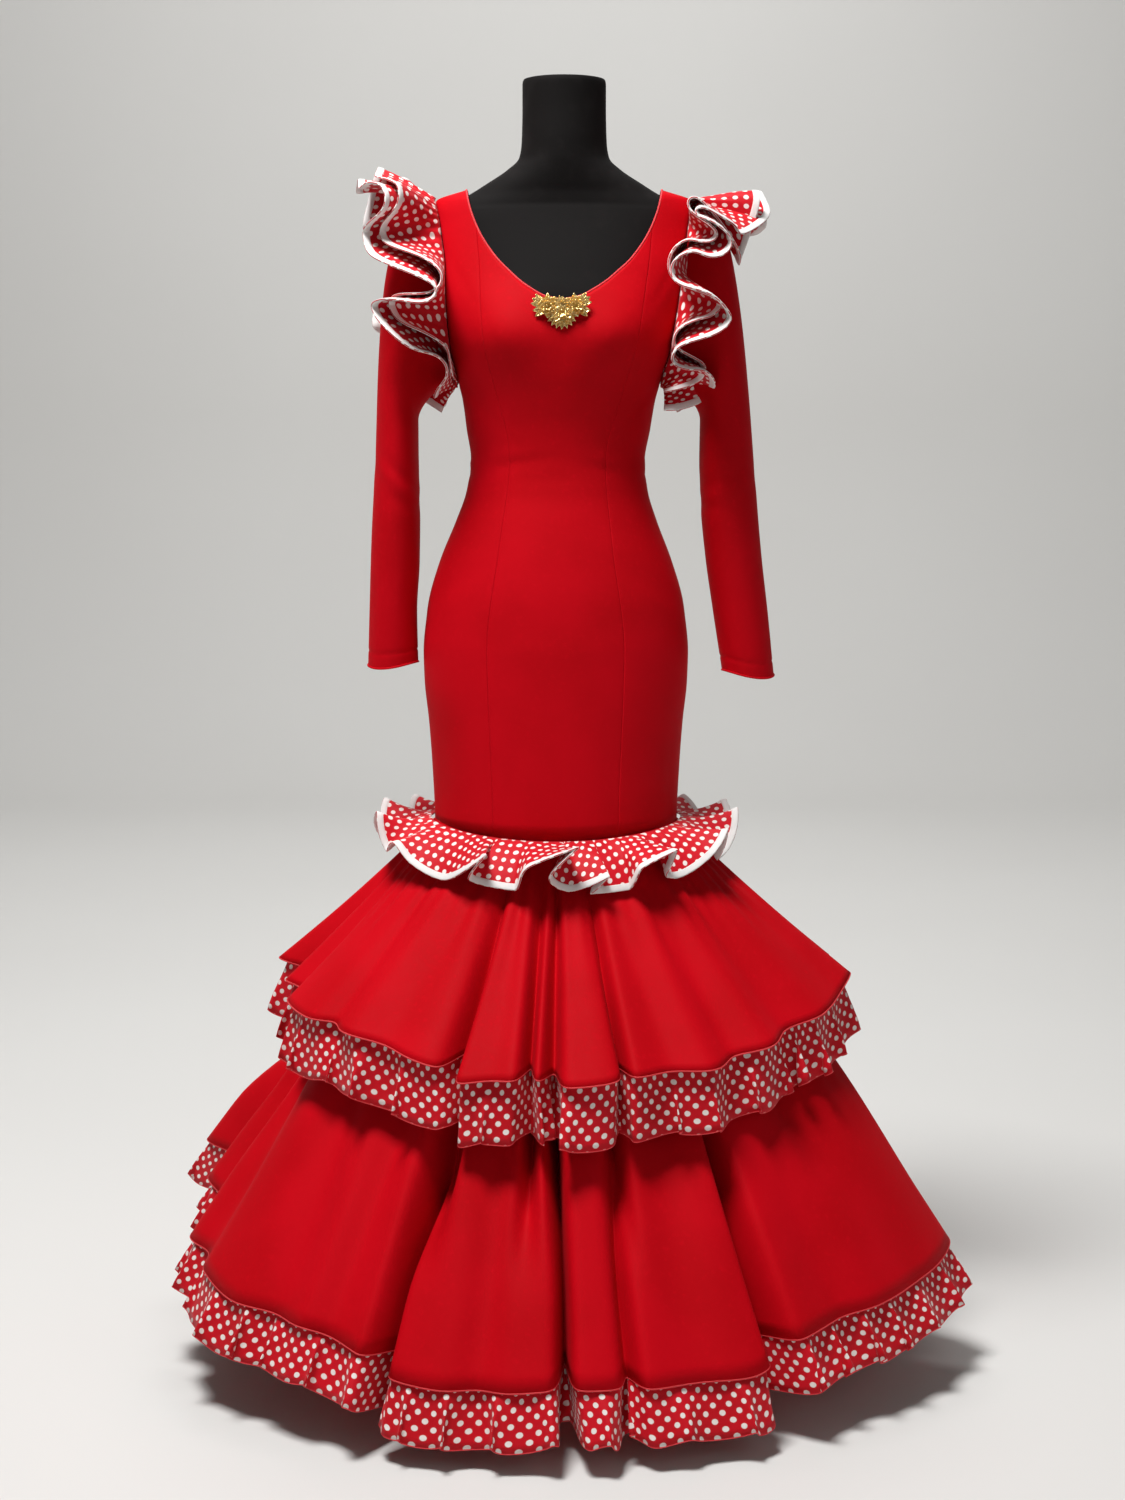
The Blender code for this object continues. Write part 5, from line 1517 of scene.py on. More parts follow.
def polar(angle: Any, radius: Any, z: Any) -> Array:
    """Point from an angle in degrees, a radius and a height."""
    turn = np.radians(angle)
    return np.stack([radius * np.sin(turn), -radius * np.cos(turn), z + 0 * turn], axis=-1)


@dataclass(frozen=True)
class Flounces:
    """Underskirt band, two wide crepe flounces with rolled hems, and the pleated polka trims below them."""

    figure: Figure
    finishes: Finishes
    cloth: float = 0.0014
    columns: int = 840
    rows: int = 30
    # angle, how far the edge lies out from its oval, height of the edge
    upper_folds: Table = (
        (-84, -0.006, 0.458), (-77, -0.022, 0.453), (-70, 0.002, 0.447), (-60, 0.006, 0.442),
        (-53, -0.010, 0.440), (-45, 0.005, 0.436), (-37, -0.008, 0.427), (-29, 0.004, 0.416),
        (-26, -0.002, 0.412), (-22.8, -0.058, 0.420), (-18.5, 0.002, 0.396), (-13.5, -0.006, 0.400),
        (-10, 0.001, 0.402), (-6.4, -0.056, 0.404), (-3.2, -0.006, 0.400), (0.2, -0.056, 0.398),
        (4, 0.000, 0.395), (9, 0.002, 0.398), (12, -0.006, 0.401), (14.8, -0.048, 0.405),
        (18.5, 0.000, 0.404), (25, -0.014, 0.404), (32, 0.006, 0.405), (41, -0.014, 0.411),
        (49, 0.005, 0.419), (58, -0.012, 0.427), (67, 0.008, 0.436), (77, 0.012, 0.446), (86, 0.024, 0.460),
        (95, -0.036, 0.458), (104, 0.010, 0.466), (115, -0.048, 0.468), (127, 0.008, 0.474),
        (138, -0.046, 0.474), (149, 0.006, 0.478), (160, -0.048, 0.478), (171, 0.004, 0.480),
        (181, -0.044, 0.480), (192, 0.006, 0.480), (203, -0.050, 0.478), (214, 0.008, 0.476),
        (225, -0.046, 0.473), (237, 0.010, 0.472), (249, -0.048, 0.466), (259, 0.012, 0.466),
        (268, -0.036, 0.458),
    )
    lower_folds: Table = (
        (-80, -0.008, 0.152), (-72, -0.022, 0.149), (-64, 0.000, 0.144), (-55, 0.004, 0.133),
        (-48, -0.012, 0.130), (-41, 0.000, 0.129), (-36, -0.012, 0.121), (-31, 0.004, 0.113),
        (-27.4, -0.078, 0.100), (-23.2, -0.004, 0.090), (-17, 0.002, 0.085), (-12, -0.012, 0.084),
        (-7, 0.000, 0.086), (-2.2, 0.000, 0.090), (1.4, -0.086, 0.093), (4.6, 0.000, 0.090),
        (8.5, -0.002, 0.089), (11.6, -0.042, 0.089), (15, 0.000, 0.088), (22, -0.008, 0.087),
        (28.5, 0.002, 0.087), (32.5, -0.004, 0.093), (36.4, -0.088, 0.104), (40.8, 0.002, 0.118),
        (48, -0.010, 0.124), (55, 0.004, 0.128), (64, 0.010, 0.133), (78, 0.026, 0.146),
        (88, -0.044, 0.168), (99, -0.012, 0.186), (107, -0.054, 0.192), (117, -0.004, 0.200),
        (135, -0.052, 0.205), (148, 0.006, 0.210), (160, -0.054, 0.210), (172, 0.004, 0.212),
        (183, -0.050, 0.212), (195, 0.006, 0.212), (207, -0.054, 0.210), (219, 0.010, 0.206),
        (232, -0.050, 0.202), (247, 0.022, 0.200), (256, -0.054, 0.192), (264, -0.018, 0.186),
        (272, -0.050, 0.170),
    )
    # angle, how far round the edge slides there in degrees
    upper_slides: Table = (
        (-84, 1.5), (-77, 0), (-70, -1.5), (-58, 1.2), (-53, 0), (-47, -1.2), (-34, 0), (-27.5, 2.2),
        (-22.8, 1.3), (-18.5, -1.8), (-13, 0.4), (-10, 1.7), (-6.4, 0.5), (-3.2, -0.6), (0.2, -0.4),
        (3.6, -2), (8, 0), (11.6, 1.6), (14.8, 0.3), (18.5, -2.2), (25, 0), (34, 0.8), (41, 0), (48, -1),
        (70, 0), (86, 2.4), (95, 0), (104, -2.6), (115, 0), (126, 2.4), (138, 0), (149, -2), (171, 2),
        (181, 0), (192, -2.2), (203, 0), (214, 2.6), (225, 0.4), (237, -2.2), (249, 0), (260, 2.2),
        (268, 0),
    )
    lower_slides: Table = (
        (-80, 1), (-72, 0), (-64, -1), (-44, 0.8), (-36, 0), (-32, 1.9), (-27.4, 0.9), (-22.8, -2.6),
        (-16, 0), (-7, 0.6), (-2.2, 1.9), (1.4, 0.4), (4.8, -1.7), (8.6, 1), (11.6, 0), (15, -1.4), (24, 0),
        (31.5, 1.5), (36.4, -0.2), (41, -2.8), (48, 0), (70, 0), (79, 2.2), (88, 0), (98, -1.2), (107, 0),
        (118, 2), (135, 0), (148, 2.2), (160, 0.2), (172, -1.8), (195, 2), (207, 0), (219, -2.2), (232, 0),
        (247, 1.8), (256, 0), (265, -1),
    )
    upper_oval: Oval = Oval(0.335, 0.315, 0.395)
    lower_oval: Oval = Oval(0.458, 0.422, 0.525)
    upper_root_z: float = 0.646
    lower_root_z: float = 0.585
    upper_bow: float = 1.10
    lower_bow: float = 0.93
    root_clear: float = 0.0026
    upper_drop: float = 0.070
    lower_drop: float = 0.056
    upper_flare: float = 0.010
    lower_flare: float = 0.026
    trim_inset: float = 0.0045
    trim_start: float = 0.955
    trim_columns: int = 1560
    trim_rows: int = 10
    trim_cloth: float = 0.0011
    hem_radius: float = 0.0010
    trim_hem_radius: float = 0.00075
    fold_power: float = 0.9
    # shares of the lower flounce where it takes and leaves the upper one's folds, and where its own grow
    under_from: tuple[float, float] = (0.0, 0.36)
    under_to: tuple[float, float] = (0.48, 0.86)
    own_from: tuple[float, float] = (0.14, 0.84)
    slide_power: int = 3
    upper_ripple: float = 0.0011
    lower_ripple: float = 0.0010
    ripple_from: tuple[float, float] = (0.0, 0.08)
    ripple_to: tuple[float, float] = (0.15, 0.75)
    softening: int = 2
    trim_softening: int = 4
    # mean width of a pleat in degrees, and what shifts its pattern
    upper_pleats: tuple[float, float] = (8.6, 0.4)
    lower_pleats: tuple[float, float] = (6.7, 1.9)
    pleat_roll: tuple[float, float] = (0.0100, 0.0018)
    pleat_slip: float = 0.0132
    pleat_lift: float = 0.0026
    band_step: float = 3.0
    band_rows: int = 9
    band_overlap: float = 0.012
    band_ease: tuple[float, float] = (1.04, 1.01)

    def upper(self, angle: Any, share: Any, inset: float = 0.0) -> Array:
        """Upper flounce: its radius and its folds each grow with a power of the share.

        Args:
            angle: degrees from the centre front.
            share: 0 at the seam, 1 at the edge.
            inset: how far inside.

        Returns:
            The points.
        """
        figure = self.figure
        start_z = figure.seam_z(angle) - (figure.seam_side_z - self.upper_root_z)
        start = figure.radius(angle, start_z, self.root_clear)
        fold = around(angle, self.upper_folds, 1) * share**self.fold_power
        radius = start + (self.upper_oval.radius(angle) - start) * share**self.upper_bow + fold - inset
        turned = angle + around(angle, self.upper_slides, 1) * share
        return polar(turned, radius, start_z + (around(angle, self.upper_folds, 2) - start_z) * share)

    def lower(self, angle: Any, share: Any, inset: float = 0.0) -> Array:
        """Lower flounce: it takes the upper one's folds where it lies under it and its own further down.

        Args:
            angle: degrees from the centre front.
            share: 0 at the seam, 1 at the edge.
            inset: how far inside.

        Returns:
            The points.
        """
        z = self.lower_root_z + (around(angle, self.lower_folds, 2) - self.lower_root_z) * share
        start = self.figure.radius(angle, self.lower_root_z, self.root_clear)
        under = ramp(share, *self.under_from) * (1.0 - ramp(share, *self.under_to))
        own = ramp(share, *self.own_from)
        turned = around(angle, self.lower_slides, 1) * own**self.slide_power
        slide = around(angle, self.upper_slides, 1) * under + turned
        fold = around(angle, self.upper_folds, 1) * under + around(angle, self.lower_folds, 1) * own
        radius = start + (self.lower_oval.radius(angle) - start) * share**self.lower_bow + fold - inset
        return polar(angle + slide, radius, z)

    def flounce(self, surface: Callable[..., Array], ripple: float) -> Weave:
        """Fine grid of a flounce, its folds rounded a little and small gathers let in at its seam.

        Args:
            surface: one of the two flounce surfaces.
            ripple: depth of the gathers.

        Returns:
            The closed grid.
        """
        angle = np.arange(self.columns)[None, :] * 360.0 / self.columns
        share = np.linspace(0.0, 1.0, self.rows)[:, None]
        points = softened(surface(angle + 0 * share, share + 0 * angle), self.softening, True)
        turn = np.radians(angle)
        wave = np.sin(61 * turn + 2.2 * np.sin(5 * turn)) + 0.6 * np.sin(37 * turn + 1.5 * np.sin(3 * turn))
        fade = ramp(share, *self.ripple_from) * (1.0 - ramp(share, *self.ripple_to))
        points = points + grid_normals(points, True) * (ripple * wave * fade)[..., None]
        return Weave(points, ring_cut(points, True), True)

    def pleats(self, angle: Array, width: float, seed: float) -> tuple[Array, Array]:
        """Phase of uneven pleats round the hem, and their uneven depth from 0.55 to 1.

        Args:
            angle: degrees from the centre front.
            width: mean width of a pleat in degrees.
            seed: shifts the pattern.

        Returns:
            Phase in radians, which closes after a full turn, and depth.
        """
        turn = np.radians(angle)
        count = round(360.0 / width)
        uneven = 1.9 * np.sin(5 * turn + seed) + 1.2 * np.sin(11 * turn + 2 * seed)
        uneven = uneven + 0.7 * np.sin(23 * turn + seed)
        depth = 0.78 + 0.14 * np.sin(7 * turn + seed) + 0.08 * np.sin(17 * turn + 3 * seed)
        return count * turn + uneven, depth

    def trim(
        self, surface: Callable[..., Array], drop: float, flare: float, plan: tuple[float, float]
    ) -> Weave:
        """Pleated trim from inside a flounce edge: pleats roll out with a cosine and slip with a sine.

        Args:
            surface: the flounce that it hangs from.
            drop: how far it hangs below the edge.
            flare: how far it runs out below the edge.
            plan: mean width of a pleat in degrees, and what shifts the pattern.

        Returns:
            The closed grid.
        """
        angle = np.arange(self.trim_columns) * 360.0 / self.trim_columns
        phase, depth = self.pleats(angle, *plan)
        share = np.linspace(0.0, 1.0, self.trim_rows)[:, None]
        top = surface(angle, self.trim_start, self.trim_inset)
        edge = surface(angle, 1.0, self.trim_inset) + polar(angle, flare, -drop)
        top = softened(top[None], self.trim_softening, True)[0]
        edge = softened(edge[None], self.trim_softening, True)[0]
        points = top[None] + (edge - top)[None] * share[..., None]
        normal = grid_normals(points, True)
        across = unit(np.roll(points, -1, axis=1) - np.roll(points, 1, axis=1))
        size = ramp(share, 0.05, 1.0) * depth[None, :]
        roll = self.pleat_roll[0] * np.cos(phase) + self.pleat_roll[1] * np.cos(2 * phase + 0.6)
        slip = self.pleat_slip * np.sin(phase)
        points = points - normal * (roll * size)[..., None] - across * (slip * size)[..., None]
        points[..., 2] += self.pleat_lift * np.cos(phase + 0.7) * share * depth
        return Weave(points, straight_cut(points, True), True)

    def hem(self, name: str, weave: Weave, radius: float) -> bpy.types.Object:
        """Rolled, overcast hem of a radius along a grid's free edge.

        Args:
            name: name of the piece.
            weave: the grid.
            radius: radius of the roll.

        Returns:
            The hem.
        """
        edge, inward, side = hem_line(weave.points, True)
        band = bent_band(edge, inward, side, circle(radius, HEM_SIDES), True)
        return fit_out(name, swept(name, band), self.finishes.rolled, ())

    def sheet(self, name: str, weave: Weave, is_trim: bool) -> None:
        """Make one flounce or trim with its hem.

        Args:
            name: CAD node that it replaces.
            weave: its grid.
            is_trim: True for a dotted trim, False for a crepe flounce.
        """
        finish = self.finishes.polka if is_trim else self.finishes.crepe
        piece = cloth_piece(name, weave, True, finish, self.trim_cloth if is_trim else self.cloth)
        hem = self.hem("hem_" + name, weave, self.trim_hem_radius if is_trim else self.hem_radius)
        edge = longest(run_length(weave.points[-1]))
        depth = longest(down_run(weave.points))
        declare_cloth(piece, (edge, depth))

    def band(self) -> None:
        """Make the short band of the underskirt between the thigh seam and the lower flounce."""
        turns = np.arange(0.0, 360.0, self.band_step)
        low = np.full_like(turns, self.lower_root_z - self.band_overlap)
        seam = self.figure.seam_z(turns)
        heights = np.linspace(0.0, 1.0, self.band_rows)[:, None] * (low - seam) + seam
        points = self.figure.point(turns[None, :] + 0 * heights, heights)
        weave = Weave(points, straight_cut(points, True), True)
        piece = cloth_piece("skirt_band", weave, True, self.finishes.crepe, self.cloth, -1.0)
        girth = longest(run_length(points)) * self.band_ease[0]
        depth = longest(np.ptp(heights, axis=0)) * self.band_ease[1]
        declare_cloth(piece, (girth, depth))

    def build(self) -> None:
        """Make the band, both flounces and both trims."""
        self.band()
        upper = self.flounce(self.upper, self.upper_ripple)
        lower = self.flounce(self.lower, self.lower_ripple)
        upper_trim = self.trim(self.upper, self.upper_drop, self.upper_flare, self.upper_pleats)
        lower_trim = self.trim(self.lower, self.lower_drop, self.lower_flare, self.lower_pleats)
        self.sheet("upper_flounce", upper, False)
        self.sheet("lower_flounce", lower, False)
        self.sheet("upper_trim", upper_trim, True)
        self.sheet("lower_trim", lower_trim, True)


# ---------------------------------------------------------------- closure
def solid_of(name: str, outline: Array, low: float, high: float, bevel: float) -> bpy.types.Mesh:
    """Prism on a closed outline in x and z between two values of y, with rounded edges.

    Args:
        name: name of the mesh.
        outline: pairs of x and z, going round once.
        low: the smaller y.
        high: the greater y.
        bevel: radius of the edges.

    Returns:
        A closed mesh with its faces outwards.
    """
    work = bmesh.new()
    rings = [[work.verts.new((x, y, z)) for x, z in outline] for y in (low, high)]
    for ring in rings:
        work.faces.new(ring)
    count = len(outline)
    for i in range(count):
        work.faces.new((rings[0][i], rings[0][(i + 1) % count], rings[1][(i + 1) % count], rings[1][i]))
    bmesh.ops.recalc_face_normals(work, faces=work.faces[:])
    rims = [edge for edge in work.edges if edge.calc_face_angle(0.0) > math.radians(50)]
    bmesh.ops.bevel(work, geom=rims, offset=bevel, segments=2, affect="EDGES")
    mesh = bpy.data.meshes.new(name)
    work.to_mesh(mesh)
    work.free()
    return mesh


@dataclass(frozen=True)
class BackZip:
    """Concealed centre-back zip: its tape behind the seam, the slider, and the hinged pull tab."""

    figure: Figure
    finishes: Finishes
    tape_width: float = 0.022
    tape_foot: float = 0.900
    tape_top: float = 1.299
    tape: float = 0.0009
    inset: float = 0.0036
    back_radius: float = 0.105
    tape_ease: float = 1.03
    slider_depth: float = 0.0020
    slider_bevel: float = 0.0004
    tab_bevel: float = 0.0003
    tab_root: float = 0.62
    tab_widest: float = 0.62
    tab_tip: float = 0.385

    def tape_piece(self) -> None:
        """Make the tape along the inside of the centre back."""
        half = math.degrees(self.tape_width / 2 / self.back_radius)
        angle = 180.0 + np.linspace(-half, half, 9)[None, :]
        z = np.linspace(self.tape_foot, self.tape_top, 60)[:, None]
        points = self.figure.point(angle + 0 * z, z + 0 * angle, self.inset)
        weave = Weave(points, straight_cut(points, False))
        mesh = weave.mesh("zip_tape_cloth")
        weft = self.finishes.zip_cloth
        piece = fit_out("zip_tape_cloth", mesh, weft, ("zip_tape",), self.tape, -1.0)
        flat = (self.tape_width, (self.tape_top - self.tape_foot) * self.tape_ease)
        declare_cloth(piece, flat)

    def slider(self) -> None:
        """Make the heart-shaped plate of the slider in the room of its CAD node, and finish that node."""
        low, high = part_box("zip_slider")
        middle = (low.x + high.x) / 2
        half = (high.x - low.x) / 2
        turn = np.linspace(0.0, 2 * np.pi, 28, endpoint=False)
        x = middle + half * np.sin(turn) * (0.80 + 0.20 * np.cos(turn))
        z = (low.z + high.z) / 2 + (high.z - low.z) / 2 * np.cos(turn)
        front = low.y + self.slider_depth
        mesh = solid_of("zip_slider_metal", np.stack([x, z], -1), low.y, front, self.slider_bevel)
        fit_out("zip_slider_metal", mesh, self.finishes.zip_metal, ())
        finish_node("zip_slider", self.finishes.zip_metal)

    def tab(self) -> None:
        """Make the drop-shaped pull tab, which fills the room of its CAD node and rides on its own body."""
        low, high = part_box("zip_tab")
        middle = (low.x + high.x) / 2
        half = (high.x - low.x) / 2
        length = high.z - low.z
        run = np.linspace(0.0, 1.0, 22)
        root, widest = self.tab_root, self.tab_widest
        tip = np.sqrt(np.clip(1 - ((run - widest) / self.tab_tip) ** 2, 0, 1))
        end = half * (root + (1 - root) * ramp(run, 0.15, 0.70)) * tip
        stem = half * (root + (1 - root) * ramp(run, 0.10, widest))
        wide = np.where(run < widest, stem, np.maximum(end, half * 0.12))
        z = high.z - length * run
        outline = np.concatenate([np.stack([middle + wide, z], -1), np.stack([middle - wide, z], -1)[::-1]])
        mesh = solid_of("zip_tab_metal", outline, low.y, high.y, self.tab_bevel)
        enamel = self.finishes.zip_metal
        fit_out("zip_tab_metal", mesh, enamel, ("zip_tab",), body=TAB_BODY)

    def build(self) -> None:
        """Make every part of the closure."""
        self.tape_piece()
        self.slider()
        self.tab()


# ---------------------------------------------------------------- brooch
@dataclass(frozen=True)
class Petals:
    """A ring or fan of petals: centre, how many, first and last turn, length, width, lift and cup."""

    centre: tuple[float, float]
    count: int
    turns: tuple[float, float]
    start: float
    length: float
    width: float
    lift: tuple[float, float]
    cup: float
    base: float = 0.0

    def grids(self, rows: int, cols: int) -> Array:
        """Petals as grids: leaf-shaped, rising from base to tip, cupped across and rippled at the tip.

        Args:
            rows: points along a petal.
            cols: points across it.

        Returns:
            Petal, row, column, and right, up and off coordinates.
        """
        turn = np.radians(np.linspace(*self.turns, self.count))[:, None, None]
        t = np.linspace(0.0, 1.0, rows)[None, :, None]
        s = np.linspace(-1.0, 1.0, cols)[None, None, :]
        wide = self.width / 2 * np.sin(np.pi * (0.10 + 0.86 * t) ** 0.8) ** 0.75
        along = self.start + self.length * t * (1 - 0.10 * s**2)
        off = self.base + self.lift[0] * t + self.lift[1] * t**2 + self.cup * s**2 * np.sin(np.pi * t * 0.9)
        off = off + 0.0004 * np.sin(s * 9.0 + 4.0 * turn) * t**2 - 0.0005 * np.exp(-((s / 0.18) ** 2)) * t
        right = along * np.cos(turn) - wide * s * np.sin(turn)
        up = along * np.sin(turn) + wide * s * np.cos(turn)
        return np.stack([right + self.centre[0], up + self.centre[1], off + 0 * right], axis=-1)


@dataclass(frozen=True)
class FlowerBrooch:
    """Gilt brooch of three flower heads and leaves at the foot of the neckline."""

    figure: Figure
    finishes: Finishes
    z: float = 1.2525
    back_y: float = -0.1030
    wall: float = 0.0005
    petal_grid: tuple[int, int] = (6, 7)
    plate_radii: tuple[float, float, float] = (0.027, 0.0011, 0.0095)
    plate_off: float = 0.0012
    plates: tuple[Petals, ...] = (
        Petals((-0.021, 0.005), 3, (128.0, 178.0), 0.002, 0.0125, 0.0078, (0.0015, 0.0), 0.0012, 0.0018),
        Petals((-0.020, 0.000), 2, (190.0, 222.0), 0.002, 0.0115, 0.0072, (0.0012, 0.0), 0.0012, 0.0015),
        Petals((0.020, 0.006), 3, (4.0, 56.0), 0.002, 0.0125, 0.0078, (0.0015, 0.0), 0.0012, 0.0018),
        Petals((0.020, 0.000), 2, (-42.0, -10.0), 0.002, 0.0110, 0.0072, (0.0012, 0.0), 0.0012, 0.0015),
        Petals((-0.016, 0.003), 8, (0.0, 315.0), 0.001, 0.0132, 0.0098, (0.0006, 0.0012), 0.0018, 0.0022),
        Petals((-0.016, 0.003), 6, (20.0, 320.0), 0.001, 0.0096, 0.0084, (0.0012, 0.0024), 0.0018, 0.0036),
        Petals((-0.016, 0.003), 5, (0.0, 288.0), 0.0, 0.0060, 0.0062, (0.0020, 0.0026), 0.0016, 0.0048),
        Petals((0.016, 0.004), 8, (10.0, 325.0), 0.001, 0.0126, 0.0094, (0.0006, 0.0012), 0.0018, 0.0022),
        Petals((0.016, 0.004), 6, (30.0, 330.0), 0.001, 0.0090, 0.0080, (0.0012, 0.0024), 0.0018, 0.0036),
        Petals((0.016, 0.004), 5, (12.0, 300.0), 0.0, 0.0056, 0.0058, (0.0020, 0.0026), 0.0016, 0.0048),
        Petals((0.000, -0.005), 9, (190.0, 350.0), 0.003, 0.0155, 0.0082, (0.0006, 0.0008), 0.0014, 0.0016),
        Petals((0.000, -0.004), 8, (180.0, 360.0), 0.002, 0.0120, 0.0076, (0.0012, 0.0020), 0.0016, 0.0034),
        Petals((0.000, -0.003), 7, (0.0, 309.0), 0.0, 0.0076, 0.0066, (0.0020, 0.0022), 0.0016, 0.0050),
        Petals((-0.001, 0.006), 4, (40.0, 140.0), 0.001, 0.0072, 0.0064, (0.0008, 0.0012), 0.0014, 0.0030),
    )
    # right, up, off and size of the beads at the hearts of the flowers
    beads: Table = (
        (-0.017, 0.003, 0.0068, 0.0016), (0.014, 0.004, 0.0066, 0.0014), (0.000, -0.002, 0.0072, 0.0015),
        (-0.0035, -0.0045, 0.0066, 0.0010), (0.0035, -0.0045, 0.0066, 0.0010),
        (-0.002, 0.006, 0.0058, 0.0009),
    )

    def build(self) -> None:
        """Lay all petals on the front of the dress as one piece, and the beads as another."""
        rows, cols = self.petal_grid
        grids = np.concatenate([plate.grids(rows, cols) for plate in self.plates])
        count = len(grids)
        flat = grids.reshape(-1, 3)
        r, c = np.meshgrid(np.arange(rows - 1), np.arange(cols - 1), indexing="ij")
        quad = np.stack([r * cols + c, (r + 1) * cols + c, (r + 1) * cols + c + 1, r * cols + c + 1], -1)
        quads = (quad.reshape(1, -1, 4) + (np.arange(count) * rows * cols)[:, None, None]).reshape(-1, 4)
        middle = float(self.figure.lean(self.z))
        points = np.stack([middle + flat[:, 0], self.back_y - flat[:, 2], self.z + flat[:, 1]], axis=-1)
        mesh = bpy.data.meshes.new("brooch_petals")
        mesh.from_pydata(points, [], quads)
        mesh.shade_smooth()
        fit_out("brooch_petals", mesh, self.finishes.gilt, ("brooch",), self.wall)
        self.bead_piece(middle)

    def bead_piece(self, middle: float) -> None:
        """Make the round beads and the oval backing plate, as stacked rings.

        Args:
            middle: x of the brooch's centre.
        """
        turn = np.linspace(0.0, 2 * np.pi, 13)[:-1]
        tilt = np.linspace(-np.pi / 2, np.pi / 2, 9)
        unit_ball = np.stack(
            [
                np.outer(np.cos(tilt), np.cos(turn)),
                np.outer(np.sin(tilt), np.ones_like(turn)),
                np.outer(np.cos(tilt), np.sin(turn)),
            ],
            axis=-1,
        )
        balls = [
            unit_ball * size + np.array([middle + right, self.back_y - off, self.z + up])
            for right, up, off, size in self.beads
        ]
        behind = np.array([middle, self.back_y - self.plate_off, self.z])
        plate = unit_ball * np.array(self.plate_radii) + behind
        ball_piece("brooch_beads", [*balls, plate], self.finishes.gilt)


def ball_piece(
    name: str, balls: Sequence[Array], material: bpy.types.Material, nodes: Sequence[str] = ()
) -> None:
    """Join closed ball-shaped grids, whose first and last rows are poles, into one piece.

    Args:
        name: name of the piece.
        balls: grids of one shape.
        material: finish.
        nodes: CAD nodes that it replaces.
    """
    mesh = bpy.data.meshes.new(name)
    rows, cols = balls[0].shape[:2]
    r, c = np.meshgrid(np.arange(rows - 1), np.arange(cols), indexing="ij")
    d = np.mod(c + 1, cols)
    below = r + 1
    quad = np.stack([r * cols + c, r * cols + d, below * cols + d, below * cols + c], -1).reshape(1, -1, 4)
    quads = (quad + (np.arange(len(balls)) * rows * cols)[:, None, None]).reshape(-1, 4)
    mesh.from_pydata(np.concatenate([ball.reshape(-1, 3) for ball in balls]), [], quads)
    work = bmesh.new()
    work.from_mesh(mesh)
    bmesh.ops.remove_doubles(work, verts=work.verts[:], dist=1e-7)
    bmesh.ops.recalc_face_normals(work, faces=work.faces[:])
    work.to_mesh(mesh)
    work.free()
    mesh.shade_smooth()
    fit_out(name, mesh, material, nodes)


# ---------------------------------------------------------------- form and stand
@dataclass(frozen=True)
class DressForm:
    """Limbless torso and neck under the dress, jersey covered, on a pole with a round base."""

    figure: Figure
    finishes: Finishes
    inset: float = 0.0072
    foot_z: float = 0.775
    sides: int = 144
    torso_top: float = 1.355
    torso_rows: int = 120
    neck_rows: int = 50
    foot_shrink: float = 0.985
    foot_drop: float = 0.0015
    # height, half width, depth in front, depth behind
    neck: Table = (
        (1.370, 0.1480, 0.0480, 0.0580), (1.378, 0.1360, 0.0460, 0.0520), (1.389, 0.1130, 0.0460, 0.0480),
        (1.403, 0.0900, 0.0480, 0.0500), (1.418, 0.0670, 0.0500, 0.0520), (1.432, 0.0530, 0.0510, 0.0520),
        (1.450, 0.0500, 0.0510, 0.0510), (1.490, 0.0490, 0.0490, 0.0490), (1.516, 0.0490, 0.0490, 0.0490),
        (1.5215, 0.0475, 0.0475, 0.0475), (1.5220, 0.0430, 0.0430, 0.0430), (1.5220, 0, 0, 0),
    )

    def torso(self) -> None:
        """Make the torso inside the dress, then the shoulders and neck, both ends closed to a point."""
        turn = np.arange(self.sides) * 360.0 / self.sides
        z = np.linspace(self.foot_z, self.torso_top, self.torso_rows)[:, None]
        low = self.figure.point(turn[None, :] + 0 * z, z + 0 * turn[None, :], self.inset)
        rows = np.array(self.neck)
        run = np.arange(len(rows), dtype=float)
        fine = np.concatenate([np.linspace(0.0, 8.0, self.neck_rows), [8.5, 9.0, 9.5, 10.0, 11.0]])
        height, wide, front, back = np.moveaxis(smooth(fine, run, rows), -1, 0)[..., None]
        radians = np.radians(turn)[None, :]
        depth = np.where(np.cos(radians) > 0, front, back)
        side = self.figure.lean(height) + wide * np.sin(radians)
        high = np.stack([side, -depth * np.cos(radians), height + 0 * radians], axis=-1)
        foot = low[:1].mean(axis=1, keepdims=True) + 0 * low[:1]
        drop = np.array([0.0, 0.0, self.foot_drop])
        rim = low[:1] * np.array([self.foot_shrink, self.foot_shrink, 1.0]) - drop
        grid = np.concatenate([foot - drop, rim, low, high])
        ball_piece("form_torso", [grid], self.finishes.jersey, ("form_body",))

    def build(self) -> None:
        """Make the torso and finish the CAD pole and base."""
        for name in ("stand_pole", "stand_base"):
            finish_node(name, self.finishes.stand)
        self.torso()


# ---------------------------------------------------------------- studio
@dataclass(frozen=True)
class Lamp:
    """Square area light: its power in watts, the length of its side, its place and what it is aimed at."""

    name: str
    power: float
    size: float
    place: tuple[float, float, float]
    aim: tuple[float, float, float]

    def build(self) -> None:
        """Make the light, turned towards its aim."""
        data = bpy.data.lights.new(self.name, "AREA")
        data.energy = self.power
        data.size = self.size
        obj = bpy.data.objects.new(self.name, data)
        bpy.context.scene.collection.objects.link(obj)
        back = unit(np.array(self.place) - np.array(self.aim))
        right = unit(np.cross(np.array([0.0, 0.0, 1.0]), back))
        turn = np.stack([right, np.cross(back, right), back], axis=1)
        obj.matrix_world = Matrix.Translation(self.place) @ Matrix(turn.tolist()).to_4x4()


